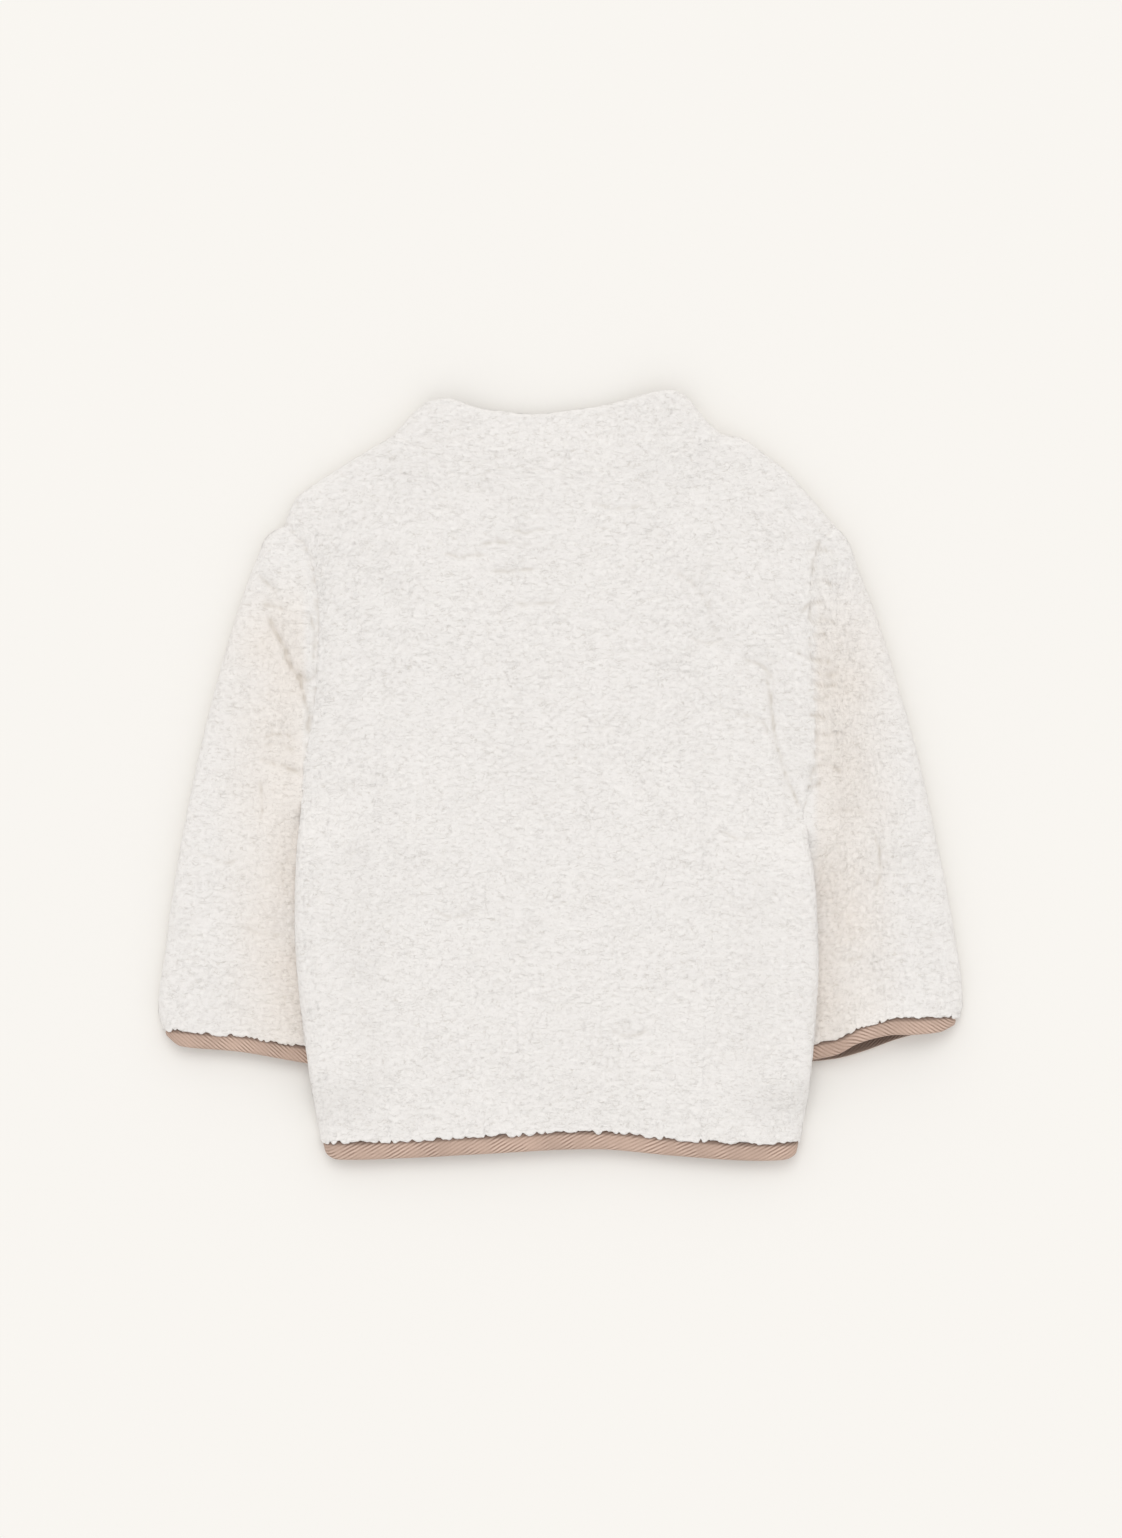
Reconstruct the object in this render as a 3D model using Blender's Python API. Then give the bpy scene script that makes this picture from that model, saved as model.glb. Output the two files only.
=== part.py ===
"""Toddler's fleece jacket with long sleeves and a stand collar, laid flat on its fronts, back up.

Every size below is in millimetres. X runs to the right as seen from above, Y towards the collar
and Z up. The underside rests on Z = 0, under the middle of the jacket.

The jacket is a set of flattened tubes. Each tube has an upper and a lower layer, which turn into
each other round a folded edge. A piece is a wall between two depths below the tube's outer skin,
so pieces that share a seam, and the tape that grips a hem, are all made from the same skin.
"""

from collections import namedtuple

import bmesh
import bpy
import numpy as np

MM = 0.001

# Cloth and tape.
FLEECE_WALL = 4.5
COLLAR_WALL = 6.0
TAPE_WALL = 0.8
TAPE_WIDTH = 9.3
TAPE_SINK = 0.25
TONGUE_WALL = 1.2
SEAM_GAP = 0.3
FRONT_GAP = 0.8
GROOVE_DEPTH = 0.9
GROOVE_REACH = 4.0

# How the layers lie on each other.
LOOSE_STACK = 11.5
LEAST_STACK = 9.6
COLLAR_STACK = 13.6
PRESSED_STACK = 9.8
FOLD_REACH = 8.0
TUCK_LIFT = 10.5
LIFT_EDGE = 16.0
LIFT_SLOPE = 32.0
LIFT_START = 45.0
LIFT_END = -156.0
LIFT_FALL = 28.0

# Shares of the outline at which the parts of an edge meet.
UNDERARM_SHARE = 0.52
NECK_SHARE = 0.2

UPPER = 1
LOWER = -1

Spot = namedtuple("Spot", "x y")
Sides = namedtuple("Sides", "left right")
Fold = namedtuple("Fold", "x0 y0 x1 y1 height width")

# The sleeves and the collar are moved off the body by the gap at their seams.
ARMHOLE_SHIFT = Spot(0.55, -0.4)
COLLAR_SHIFT = Spot(0.0, 1.1)

# Outline of the jacket as it lies, from the hem up. Each line runs away from the hem or the cuff's
# outer corner, and has only the points that its shape needs.
SIDE_SEAM = Sides(
    [Spot(-125, -195), Spot(-128, -179), Spot(-131, -158), Spot(-137, -110), Spot(-139, -78),
     Spot(-138, -40), Spot(-134, -8)],
    [Spot(126, -194), Spot(128, -181), Spot(131, -160), Spot(135, -109), Spot(135, -80),
     Spot(133, -50), Spot(128, -20)],
)
ARMHOLE = Sides(
    [Spot(-134, -8), Spot(-132, 18), Spot(-127, 52), Spot(-127, 92), Spot(-133, 118),
     Spot(-145, 132)],
    [Spot(128, -20), Spot(134, 14), Spot(133, 45), Spot(131, 70), Spot(134, 118),
     Spot(144, 132)],
)
SHOULDER = Sides(
    [Spot(-145, 132), Spot(-134, 148), Spot(-113, 164), Spot(-88, 179)],
    [Spot(144, 132), Spot(128, 152), Spot(106, 168), Spot(85, 180)],
)
COLLAR_SIDE = Sides(
    [Spot(-88, 179), Spot(-81, 187), Spot(-73, 195)],
    [Spot(85, 180), Spot(78, 186), Spot(70, 196)],
)
SLEEVE_OUTER = Sides(
    [Spot(-145, 132), Spot(-158, 117), Spot(-168, 92), Spot(-182, 45), Spot(-193, -2),
     Spot(-202, -49), Spot(-208, -92), Spot(-211.5, -121), Spot(-208, -137)],
    [Spot(144, 132), Spot(155, 109), Spot(167, 80), Spot(175, 52), Spot(187, 12),
     Spot(197, -33), Spot(206, -76), Spot(211.5, -118), Spot(208, -133)],
)
SLEEVE_INNER = Sides(
    [Spot(-134, -8), Spot(-136.2, -19), Spot(-135.5, -32), Spot(-132.5, -52), Spot(-127, -90),
     Spot(-120, -153)],
    [Spot(128, -20), Spot(130.8, -33), Spot(130, -48), Spot(127, -72), Spot(123, -105),
     Spot(120, -151)],
)
CUFF_UPPER = Sides(
    [Spot(-208, -137), Spot(-200, -141.5), Spot(-168, -144.6), Spot(-140, -149.5),
     Spot(-120, -153)],
    [Spot(208, -133), Spot(200, -135.5), Spot(176, -135.5), Spot(156, -139.5),
     Spot(141, -147), Spot(120, -151)],
)
CUFF_LOWER = Sides(
    [Spot(-208, -137), Spot(-189, -140), Spot(-154, -145), Spot(-120, -153)],
    [Spot(208, -133), Spot(186, -136.5), Spot(168, -143), Spot(145, -149.5), Spot(120, -151)],
)
HEM_BACK = [
    Spot(-125, -195), Spot(-117, -202), Spot(-80, -201), Spot(-40, -198.5), Spot(18, -195.5),
    Spot(60, -199.5), Spot(96, -202.9), Spot(118, -202.5), Spot(126, -194),
]
HEM_FRONT = [
    Spot(-125, -195), Spot(-112, -198.5), Spot(-60, -196), Spot(0, -194), Spot(62, -196),
    Spot(113, -198.5), Spot(126, -194),
]
NECK_BACK = [
    Spot(-88, 179), Spot(-66, 170), Spot(-38, 162.5), Spot(0, 161), Spot(38, 163),
    Spot(62, 171), Spot(85, 180),
]
NECK_FRONT = [Spot(-88, 179), Spot(-72, 155), Spot(-40, 133), Spot(0, 126), Spot(40, 133),
              Spot(70, 155), Spot(85, 180)]
COLLAR_TOP_BACK = [
    Spot(-73, 195), Spot(-64, 197.7), Spot(-50, 196), Spot(-36, 192), Spot(0, 191),
    Spot(22, 193), Spot(42, 199), Spot(57, 202.9), Spot(65, 202), Spot(70, 196),
]
COLLAR_TOP_FRONT = [Spot(-73, 195), Spot(-60, 176), Spot(-34, 161), Spot(0, 156),
                    Spot(34, 161), Spot(58, 176), Spot(70, 196)]

# Troughs and ridges of the upper layer: ends, height and half width. A trough's height is negative.
FOLDS = (
    Fold(-159, 90, -136, 48, -2.3, 6),  # crease from the left sleeve head to the underarm
    Fold(-146, 110, -131, 62, 2.6, 9),  # cloth pushed up beside that crease
    Fold(-144, 22, -158, -14, -1.8, 9),  # hollow above the left elbow
    Fold(-146, -15, -150, -75, 1.2, 9),
    Fold(158, 9, 157, -90, -1.8, 9),  # hollow down the right sleeve
    Fold(145, -25, 147, -95, 1.0, 8),
    Fold(63, 107, 78, 76, -1.2, 9),  # drag line from the right shoulder blade
    Fold(78, 76, 106, 52, -1.6, 8),
    Fold(107, 58, 127, -18, -2.0, 7),  # its end at the right underarm
    Fold(121, 52, 127, 8, 1.6, 8),
    Fold(-49, 53, -37, -175, -1.1, 15),  # soft trough down the back
    Fold(64, -76, 76, -116, -1.0, 14),
    Fold(-10, -150, 34, -160, 1.4, 22),  # swell above the middle of the hem
    Fold(-80, -4, -52, -38, 0.8, 18),
    Fold(-8, 2, 32, -22, 0.8, 18),
)
CUFF_MOUTH = Fold(160, -140, 182, -138, 6.0, 17)  # the right cuff stands open
COLLAR_SAG = Fold(-25, 192, 25, 193, -4.5, 20)  # nothing lies under the back collar's top edge

FLEECE_COLOUR = (0.83, 0.80, 0.76, 1.0)
TAPE_COLOUR = (0.53, 0.40, 0.33, 1.0)


def smoothstep(value):
    """0 below 0, 1 above 1 and an even S between them."""
    share = np.clip(value, 0.0, 1.0)
    return share * share * (3.0 - 2.0 * share)


def through(spots, shares):
    """The places at these shares of a smooth line through the spots."""
    spots = np.array(spots, float)
    shares = np.asarray(shares, float)
    knots = np.concatenate([[0.0], np.cumsum(np.linalg.norm(np.diff(spots, axis=0), axis=1))])
    knots /= knots[-1]
    slopes = np.empty_like(spots)
    slopes[1:-1] = (spots[2:] - spots[:-2]) / (knots[2:] - knots[:-2])[:, None]
    slopes[0] = (spots[1] - spots[0]) / knots[1]
    slopes[-1] = (spots[-1] - spots[-2]) / (1.0 - knots[-2])
    first = np.clip(np.searchsorted(knots, shares, side="right") - 1, 0, len(spots) - 2)
    span = (knots[first + 1] - knots[first])[..., None]
    t = (shares - knots[first])[..., None] / span
    return (
        (2 * t**3 - 3 * t**2 + 1) * spots[first]
        + (t**3 - 2 * t**2 + t) * span * slopes[first]
        + (3 * t**2 - 2 * t**3) * spots[first + 1]
        + (t**3 - t**2) * span * slopes[first + 1]
    )


def line(spots):
    """A line as a function of the share of its length."""
    return lambda shares: through(spots, shares)


def joined(first, second, corner):
    """Two lines as one that passes from the first to the second at the corner's share."""

    def place(shares):
        shares = np.asarray(shares, float)
        low = through(first, np.clip(shares / corner, 0, 1))
        high = through(second, np.clip((shares - corner) / (1 - corner), 0, 1))
        return np.where((shares < corner)[..., None], low, high)

    return place


def body_top(neck):
    """The body's upper edge: shoulder, neck seam, shoulder."""

    def place(shares):
        shares = np.asarray(shares, float)
        left = through(SHOULDER.left, np.clip(shares / NECK_SHARE, 0, 1))
        middle = through(neck, np.clip((shares - NECK_SHARE) / (1 - 2 * NECK_SHARE), 0, 1))
        right = through(SHOULDER.right, np.clip((1 - shares) / NECK_SHARE, 0, 1))
        inner = np.where((shares > 1 - NECK_SHARE)[..., None], right, middle)
        return np.where((shares < NECK_SHARE)[..., None], left, inner)

    return place


class Patch:
    """A piece of plan between four lines. u crosses it and v runs along it."""

    def __init__(self, start, end, low, high):
        self.start, self.end, self.low, self.high = start, end, low, high

    def place(self, u, v):
        u, v = np.broadcast_arrays(u, v)
        across, along = u[..., None], v[..., None]
        corners = [edge(np.array(end)) for edge in (self.start, self.end) for end in (0.0, 1.0)]
        level = (1 - along) * ((1 - across) * corners[0] + across * corners[1])
        level = level + along * ((1 - across) * corners[2] + across * corners[3])
        ruled = (1 - along) * self.start(u) + along * self.end(u)
        sided = (1 - across) * self.low(v) + across * self.high(v)
        return ruled + sided - level

    def length(self, u):
        """How long the patch is along v, at each u."""
        steps = np.linspace(0, 1, 25)
        run = self.place(np.asarray(u)[None, :], steps[:, None])
        return np.linalg.norm(np.diff(run, axis=0), axis=2).sum(0)

    def width(self, v):
        """How wide the patch is along u, at each v."""
        steps = np.linspace(0, 1, 25)
        run = self.place(steps[:, None], np.asarray(v)[None, :])
        return np.linalg.norm(np.diff(run, axis=0), axis=2).sum(0)


def chain(lines, outside):
    """A folded edge, as points about 2 mm apart with the direction that points out of the cloth."""
    run = np.concatenate([through(spots, np.linspace(0, 1, 70)) for spots in lines])
    keep = np.concatenate([[True], np.linalg.norm(np.diff(run, axis=0), axis=1) > 1e-6])
    run = run[keep]
    tangent = np.gradient(run, axis=0)
    tangent /= np.linalg.norm(tangent, axis=1)[:, None]
    out = np.stack([-tangent[:, 1], tangent[:, 0]], axis=1)
    turned = np.sign(((run - np.array(outside)) * out).sum(1))[:, None]
    return run, out * turned


def past(spots, reach):
    """The spots with one more, so that the line runs on past its last spot."""
    last, before = np.array(spots[-1], float), np.array(spots[-2], float)
    return [*spots, Spot(*(last + (last - before) / np.linalg.norm(last - before) * reach))]


def fold_factor(plan, chains):
    """How far the cloth has turned over at each place: 1 on a folded edge and 0 past its curve.

    Also gives the level direction towards that edge.
    """
    shape = plan.shape[:-1]
    flat = plan.reshape(-1, 2)
    best = np.full(len(flat), np.inf)
    toward = np.zeros_like(flat)
    for run, out in chains:
        start, step = run[:-1], np.diff(run, axis=0)
        apart = flat[:, None, :] - start[None]
        share = np.clip((apart * step).sum(2) / (step**2).sum(1), 0, 1)
        gap = apart - share[..., None] * step
        far = np.linalg.norm(gap, axis=2)
        nearest = far.argmin(1)
        rows = np.arange(len(flat))
        distance = far[rows, nearest]
        direction = -gap[rows, nearest] / np.maximum(distance, 1e-9)[:, None]
        direction = np.where((distance < 0.5)[:, None], out[nearest], direction)
        closer = distance < best
        best = np.where(closer, distance, best)
        toward = np.where(closer[:, None], direction, toward)
    factor = np.clip(1 - best / FOLD_REACH, 0, 1)
    return factor.reshape(shape), toward.reshape(plan.shape)


def ridge(plan, fold):
    """Height of one ridge or trough over the plan."""
    start, end = np.array([fold.x0, fold.y0]), np.array([fold.x1, fold.y1])
    run = end - start
    share = np.clip(((plan - start) @ run) / (run @ run), 0, 1)
    far = np.linalg.norm(plan - start - share[..., None] * run, axis=-1)
    return fold.height * np.exp(-((far / fold.width) ** 2))


def loose_stack(plan):
    """Height of the two layers over the plan, before the body presses on a sleeve."""
    x, y = plan[..., 0], plan[..., 1]
    swell = 0.5 * np.sin(x / 31 + 0.6) * np.cos(y / 43) + 0.35 * np.sin((x + y) / 22)
    stack = LOOSE_STACK + swell + sum(ridge(plan, fold) for fold in FOLDS)
    stack = LEAST_STACK + np.logaddexp(0, (stack - LEAST_STACK) * 2) / 2
    collar = smoothstep((y - 150) / 25) * smoothstep((105 - np.abs(x)) / 20)
    stack = stack + (COLLAR_STACK - stack) * collar
    return stack + ridge(plan, CUFF_MOUTH) + ridge(plan, COLLAR_SAG)


def side_gap(plan, side_line):
    """Distance from the body's side fold, and whether the place is on the body's side of it."""
    x, y = plan[..., 0], plan[..., 1]
    run = through(side_line, np.linspace(0, 1, 60))
    edge = np.interp(y, run[:, 1], run[:, 0])
    return (x - edge) * -np.sign(edge)


def tuck_height(plan, side_line):
    """How high the sleeve that is tucked under it lifts the body's side."""
    y = plan[..., 1]
    below_underarm = smoothstep((side_line[-1].y - y) / LIFT_START)
    above_cuff = 1 - smoothstep((LIFT_END - y) / LIFT_FALL)
    inside = side_gap(plan, side_line)
    near_side = smoothstep((LIFT_EDGE + LIFT_SLOPE - inside) / LIFT_SLOPE)
    return TUCK_LIFT * below_underarm * above_cuff * near_side


def body_lift(plan):
    return tuck_height(plan, SIDE_SEAM.left) + tuck_height(plan, SIDE_SEAM.right)


def pressed_stack(side_line):
    """A sleeve's height over the plan, thinner where the body lies on it."""

    def stack(plan):
        loose = loose_stack(plan)
        covered = smoothstep((24 + side_gap(plan, side_line)) / 22)
        below_underarm = smoothstep((side_line[-1].y - plan[..., 1]) / 25)
        return loose + (PRESSED_STACK - loose) * covered * below_underarm

    return stack


class Tube:
    """A flattened tube of cloth: plans of its two layers, its folded edges and its heights."""

    def __init__(self, upper, lower, chains, stack, lift=None, split=False, shift=(0.0, 0.0)):
        self.plans = {UPPER: upper, LOWER: lower}
        self.chains = chains
        self.stack = stack
        self.lift = lift
        self.split = split
        self.shift = shift

    def skin(self, layer, u, v):
        """Points on the tube's outer skin, and the directions that point out of it."""
        plan = self.plans[layer].place(u, v)
        turned, toward = fold_factor(plan, self.chains)
        level = np.sqrt(1 - turned**2)
        height = self.stack(plan) / 2 * (1 + layer * level)
        if self.lift is not None:
            height = height + self.lift(plan)
        if self.split:
            height = height + layer * turned * SEAM_GAP * 0.7
        points = np.concatenate([plan + self.shift, height[..., None]], axis=-1)
        normals = np.concatenate([toward * turned[..., None], (layer * level)[..., None]], axis=-1)
        return points, normals


def groove(distance):
    """How deep the seam draws the pile in, at this distance from it."""
    return GROOVE_DEPTH * np.clip(1 - distance / GROOVE_REACH, 0, 1) ** 2


def grid_faces(rows, columns, offset, loop):
    """Four-sided faces of a grid of points, closed round its columns if it is a loop."""
    across = columns if loop else columns - 1
    return [
        (
            offset + row * columns + column,
            offset + row * columns + (column + 1) % columns,
            offset + (row + 1) * columns + (column + 1) % columns,
            offset + (row + 1) * columns + column,
        )
        for row in range(rows - 1)
        for column in range(across)
    ]


def make_solid(name, points, faces, material):
    """A closed mesh object with its faces pointing out."""
    mesh = bpy.data.meshes.new(name)
    mesh.from_pydata((np.asarray(points) * MM).tolist(), [], faces)
    shape = bmesh.new()
    shape.from_mesh(mesh)
    bmesh.ops.recalc_face_normals(shape, faces=shape.faces)
    shape.to_mesh(mesh)
    shape.free()
    solid = bpy.data.objects.new(name, mesh)
    bpy.context.scene.collection.objects.link(solid)
    mesh.materials.append(material)
    mesh.shade_smooth()
    mesh.set_sharp_from_angle(angle=np.radians(40))
    return solid


def wall(name, points, normals, top_depth, bottom_depth, material, loop=False):
    """A wall between two depths below the skin. The grid's rows run along and its columns across."""
    outer = points - normals * top_depth[..., None]
    inner = points - normals * bottom_depth[..., None]
    rows, columns = outer.shape[:2]
    count = rows * columns
    faces = grid_faces(rows, columns, 0, loop)
    faces += [face[::-1] for face in grid_faces(rows, columns, count, loop)]
    last = (rows - 1) * columns
    for column in range(columns if loop else columns - 1):
        after = (column + 1) % columns
        faces.append((column, after, count + after, count + column)[::-1])
        faces.append((last + column, last + after, count + last + after, count + last + column))
    if not loop:
        for row in range(rows - 1):
            low, high = row * columns, (row + 1) * columns
            faces.append((low, high, count + high, count + low))
            low, high = low + columns - 1, high + columns - 1
            faces.append((low, high, count + high, count + low)[::-1])
    cloud = np.concatenate([outer.reshape(-1, 3), inner.reshape(-1, 3)])
    return make_solid(name, cloud, faces, material)


def swept(name, stations, material, loop):
    """A bar with the same outline at each station, closed round or capped at its ends."""
    count, corners = stations.shape[:2]
    faces = []
    for station in range(count if loop else count - 1):
        here, there = station * corners, (station + 1) % count * corners
        for corner in range(corners):
            after = (corner + 1) % corners
            faces.append((here + corner, here + after, there + after, there + corner))
    if not loop:
        faces.append(tuple(range(corners)))
        faces.append(tuple(reversed(range((count - 1) * corners, count * corners))))
    return make_solid(name, stations.reshape(-1, 3), faces, material)


# Distances from a folded edge at which the curve round it is sampled.
CURVE_STEPS = FOLD_REACH * (1 - np.cos(np.radians([0.0, 32.0, 60.0, 90.0])))
# Distances from a taped edge at which the fleece is sampled, and the depths of its wall there.
TongueRow = namedtuple("TongueRow", "distance top bottom")
TONGUE_TOP = (FLEECE_WALL - TONGUE_WALL) / 2
TONGUE = (
    TongueRow(TAPE_WALL + 1.7, TONGUE_TOP, TONGUE_TOP + TONGUE_WALL),
    TongueRow(TAPE_WIDTH + 0.3, TONGUE_TOP, TONGUE_TOP + TONGUE_WALL),
    TongueRow(TAPE_WIDTH + 0.6, 0.3, FLEECE_WALL - 0.3),
    TongueRow(TAPE_WIDTH + 2.5, 0.0, FLEECE_WALL),
)


def spread(first, last, spacing):
    """Even steps between two distances, without the ends."""
    count = max(1, round((last - first) / spacing))
    return np.linspace(first, last, count + 1)[1:-1]


def armhole_steps(patch_length):
    """Distances along an armhole seam from the underarm, with both folded ends curved."""
    end = patch_length - CURVE_STEPS[::-1]
    middle = spread(CURVE_STEPS[-1], end[0], 16)
    return np.concatenate([CURVE_STEPS, middle, end])


def body_rows(patch, u):
    """Shares along the body at each column: the taped hem, side seam, armhole and shoulder."""
    length = patch.length(u)[None, :]
    hem = np.array([row.distance for row in TONGUE])[:, None] / length
    start = TONGUE[-1].distance / length
    side = np.linspace(0, 1, 14)[1:, None] * (UNDERARM_SHARE - start) + start
    armhole = armhole_steps(ARMHOLE_LENGTH)[1:] / ARMHOLE_LENGTH
    top = CURVE_STEPS[::-1][:, None] / length
    rest = np.repeat(UNDERARM_SHARE + armhole[:, None] * (1 - UNDERARM_SHARE), len(u), axis=1)
    rest[-len(CURVE_STEPS):] = 1 - top
    # The armhole's own columns keep the seam's spacing, so that the sleeve meets them.
    ends = np.clip(np.minimum(u, 1 - u) * 12, 0, 1)[None, :]
    seam = UNDERARM_SHARE + armhole[:, None] * (1 - UNDERARM_SHARE)
    rest = seam * (1 - ends) + rest * ends
    return np.concatenate([hem, side, rest])


def line_length(spots):
    run = through(spots, np.linspace(0, 1, 60))
    return np.linalg.norm(np.diff(run, axis=0), axis=1).sum()


ARMHOLE_LENGTH = (line_length(ARMHOLE.left) + line_length(ARMHOLE.right)) / 2


def body_columns():
    """Shares across the body, with the curves round its side folds and beside the neck points."""
    width = 262.0
    edge = CURVE_STEPS / width
    neck = NECK_SHARE + CURVE_STEPS / 175.0 * (1 - 2 * NECK_SHARE)
    side_middle = spread(edge[-1], NECK_SHARE, 0.062)
    half = np.concatenate([edge, side_middle, neck, spread(neck[-1], 0.5, 0.062)])
    return half, np.concatenate([half, [0.5], (1 - half)[::-1]])


def top_chain(side, outside):
    """The fold that runs up a sleeve, over the shoulder and up the collar."""
    sleeve = past(list(getattr(SLEEVE_OUTER, side)), 30)[::-1]
    return chain(
        [sleeve, getattr(SHOULDER, side), past(list(getattr(COLLAR_SIDE, side)), 14)], outside
    )


def side_chain(side, outside):
    """The body's side fold, carried on below the hem."""
    return chain([past(list(getattr(SIDE_SEAM, side))[::-1], 20)], outside)


def inner_chain(side, outside):
    """The sleeve's fold under the body, carried on past the cuff."""
    return chain([past(list(getattr(SLEEVE_INNER, side)), 20)], outside)


BODY_MIDDLE = (0.0, 0.0)
SLEEVE_MIDDLE = Sides((-160.0, -30.0), (160.0, -30.0))


def body_tube():
    sides = [
        joined(SIDE_SEAM.left, ARMHOLE.left, UNDERARM_SHARE),
        joined(SIDE_SEAM.right, ARMHOLE.right, UNDERARM_SHARE),
    ]
    chains = [top_chain(side, BODY_MIDDLE) for side in Sides._fields]
    chains += [side_chain(side, BODY_MIDDLE) for side in Sides._fields]
    return Tube(
        Patch(line(HEM_BACK), body_top(NECK_BACK), *sides),
        Patch(line(HEM_FRONT), body_top(NECK_FRONT), *sides),
        chains, loose_stack, body_lift, split=True,
    )


def sleeve_tube(side):
    armhole = list(getattr(ARMHOLE, side))[::-1]
    edges = [line(getattr(SLEEVE_OUTER, side)), line(getattr(SLEEVE_INNER, side))]
    middle = getattr(SLEEVE_MIDDLE, side)
    return Tube(
        Patch(line(armhole), line(getattr(CUFF_UPPER, side)), *edges),
        Patch(line(armhole), line(getattr(CUFF_LOWER, side)), *edges),
        [top_chain(side, middle), inner_chain(side, middle)],
        pressed_stack(getattr(SIDE_SEAM, side)),
        shift=(ARMHOLE_SHIFT.x * (-1 if side == "left" else 1), ARMHOLE_SHIFT.y),
    )


def collar_tube():
    sides = [line(COLLAR_SIDE.left), line(COLLAR_SIDE.right)]
    chains = [top_chain(side, BODY_MIDDLE) for side in Sides._fields]
    return Tube(
        Patch(line(NECK_BACK), line(COLLAR_TOP_BACK), *sides),
        Patch(line(NECK_FRONT), line(COLLAR_TOP_FRONT), *sides),
        chains, loose_stack, shift=COLLAR_SHIFT,
    )


def tongue_depths(rows, columns):
    """Depths of the fleece wall's two faces, thinned where the tape grips it."""
    top = np.zeros((rows, columns))
    bottom = np.full((rows, columns), FLEECE_WALL)
    for index, row in enumerate(TONGUE):
        top[index] = row.top
        bottom[index] = row.bottom
    return top, bottom


def make_body(tube, fleece):
    """The back over the two fronts, which meet edge to edge under its middle."""
    half, whole = body_columns()
    patch = tube.plans[UPPER]
    v = body_rows(patch, whole)
    u = np.broadcast_to(whole, v.shape)
    points, normals = tube.skin(UPPER, u, v)
    top, bottom = tongue_depths(*v.shape)
    to_side = np.minimum(u, 1 - u) * patch.width(v[:, 0])[:, None]
    above = v > UNDERARM_SHARE
    to_neck = (1 - v) * patch.length(whole)[None, :]
    neck = np.abs(u - 0.5) < 0.5 - NECK_SHARE
    seam = np.minimum(np.where(above, to_side, 99), np.where(neck, to_neck, 99))
    wall("back", points, normals, top + groove(seam), bottom, fleece)

    patch = tube.plans[LOWER]
    for side, sign in zip(Sides._fields, (-1, 1)):
        edge = 0.5 - FRONT_GAP / 2 / 262.0
        shares = np.concatenate([half, [edge - 4.0 / 262.0, edge]])
        if side == "right":
            shares = (1 - shares)[::-1]
        v = body_rows(patch, shares)
        u = np.broadcast_to(shares, v.shape)
        points, normals = tube.skin(LOWER, u, v)
        top, bottom = tongue_depths(*v.shape)
        wall(f"front_{side}", points, normals, top, bottom, fleece)


def sleeve_columns(tube, side):
    """Shares across the sleeve at its armhole and at its cuff, from the outer fold."""
    length = line_length(getattr(ARMHOLE, side))
    armhole = 1 - (armhole_steps(ARMHOLE_LENGTH) / ARMHOLE_LENGTH)[::-1]
    width = tube.plans[UPPER].width(np.array([1.0]))[0]
    count = len(armhole) - 2 * len(CURVE_STEPS)
    cuff = np.concatenate([
        CURVE_STEPS,
        np.linspace(CURVE_STEPS[-1], width - CURVE_STEPS[-1], count + 2)[1:-1],
        width - CURVE_STEPS[::-1],
    ]) / width
    assert length > 0
    return armhole, cuff


def make_sleeve(tube, side, fleece, tape):
    """One sleeve, a tube all round, and the tape round its cuff."""
    armhole, cuff = sleeve_columns(tube, side)
    rings = {}
    for layer in (UPPER, LOWER):
        patch = tube.plans[layer]
        length = patch.length(cuff)[None, :]
        start = np.array([0.0, 1.6, GROOVE_REACH])[:, None] / length
        end = 1 - np.array([row.distance for row in TONGUE])[::-1, None] / length
        middle = np.linspace(0, 1, 15)[1:-1, None] * (end[:1] - start[-1:]) + start[-1:]
        v = np.concatenate([start, middle, end])
        blend = smoothstep(v * 1.6)
        u = armhole * (1 - blend) + cuff * blend
        rings[layer] = (u, v, *tube.skin(layer, u, v))
    points, normals = closed_ring(rings[UPPER][2:], rings[LOWER][2:])
    rows, columns = points.shape[:2]
    top, bottom = tongue_depths(rows, columns)
    top, bottom = top[::-1].copy(), bottom[::-1].copy()
    top[:3] += groove(np.array([0.0, 1.6, GROOVE_REACH]))[:, None]
    wall(f"sleeve_{side}", points, normals, top, bottom, fleece, loop=True)
    ring = []
    for layer in (UPPER, LOWER):
        length = tube.plans[layer].length(cuff)
        ring.append([tube.skin(layer, cuff, 1 - far / length) for far in TAPE_ROWS])
    stations = tape_stations(ring[0], ring[1], loop=True)
    swept(f"cuff_tape_{side}", stations, tape, loop=True)


def closed_ring(upper, lower):
    """The upper layer's columns and then the lower's, back the other way, without their shared ends."""
    points = np.concatenate([upper[0], lower[0][:, -2:0:-1]], axis=1)
    normals = np.concatenate([upper[1], lower[1][:, -2:0:-1]], axis=1)
    return points, normals


TAPE_TOP = TAPE_SINK
TAPE_BOTTOM = FLEECE_WALL - TAPE_SINK
# Distances from the edge, and then the corners of the folded tape as (which distance, depth).
TAPE_ROWS = (0.0, TAPE_WALL, TAPE_WIDTH)
TAPE_OUTLINE = (
    (2, TAPE_TOP),
    (1, TAPE_TOP),
    (0, TAPE_TOP + 1.1),
    (0, TAPE_BOTTOM - 1.1),
    (1, TAPE_BOTTOM),
    (2, TAPE_BOTTOM),
    (2, TAPE_BOTTOM - TAPE_WALL),
    (1, TAPE_BOTTOM - TAPE_WALL),
    (1, TAPE_TOP + TAPE_WALL),
    (2, TAPE_TOP + TAPE_WALL),
)


def tape_stations(upper, lower, loop):
    """The folded tape's outline at each column round a hem, over the upper layer and back under."""
    rows = [closed_ring(
        (high[0][None], high[1][None]), (low[0][None], low[1][None])
    ) for high, low in zip(upper, lower)]
    corners = [rows[row][0][0] - rows[row][1][0] * depth for row, depth in TAPE_OUTLINE]
    stations = np.stack(corners, axis=1)
    return stations if loop else stations


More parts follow.
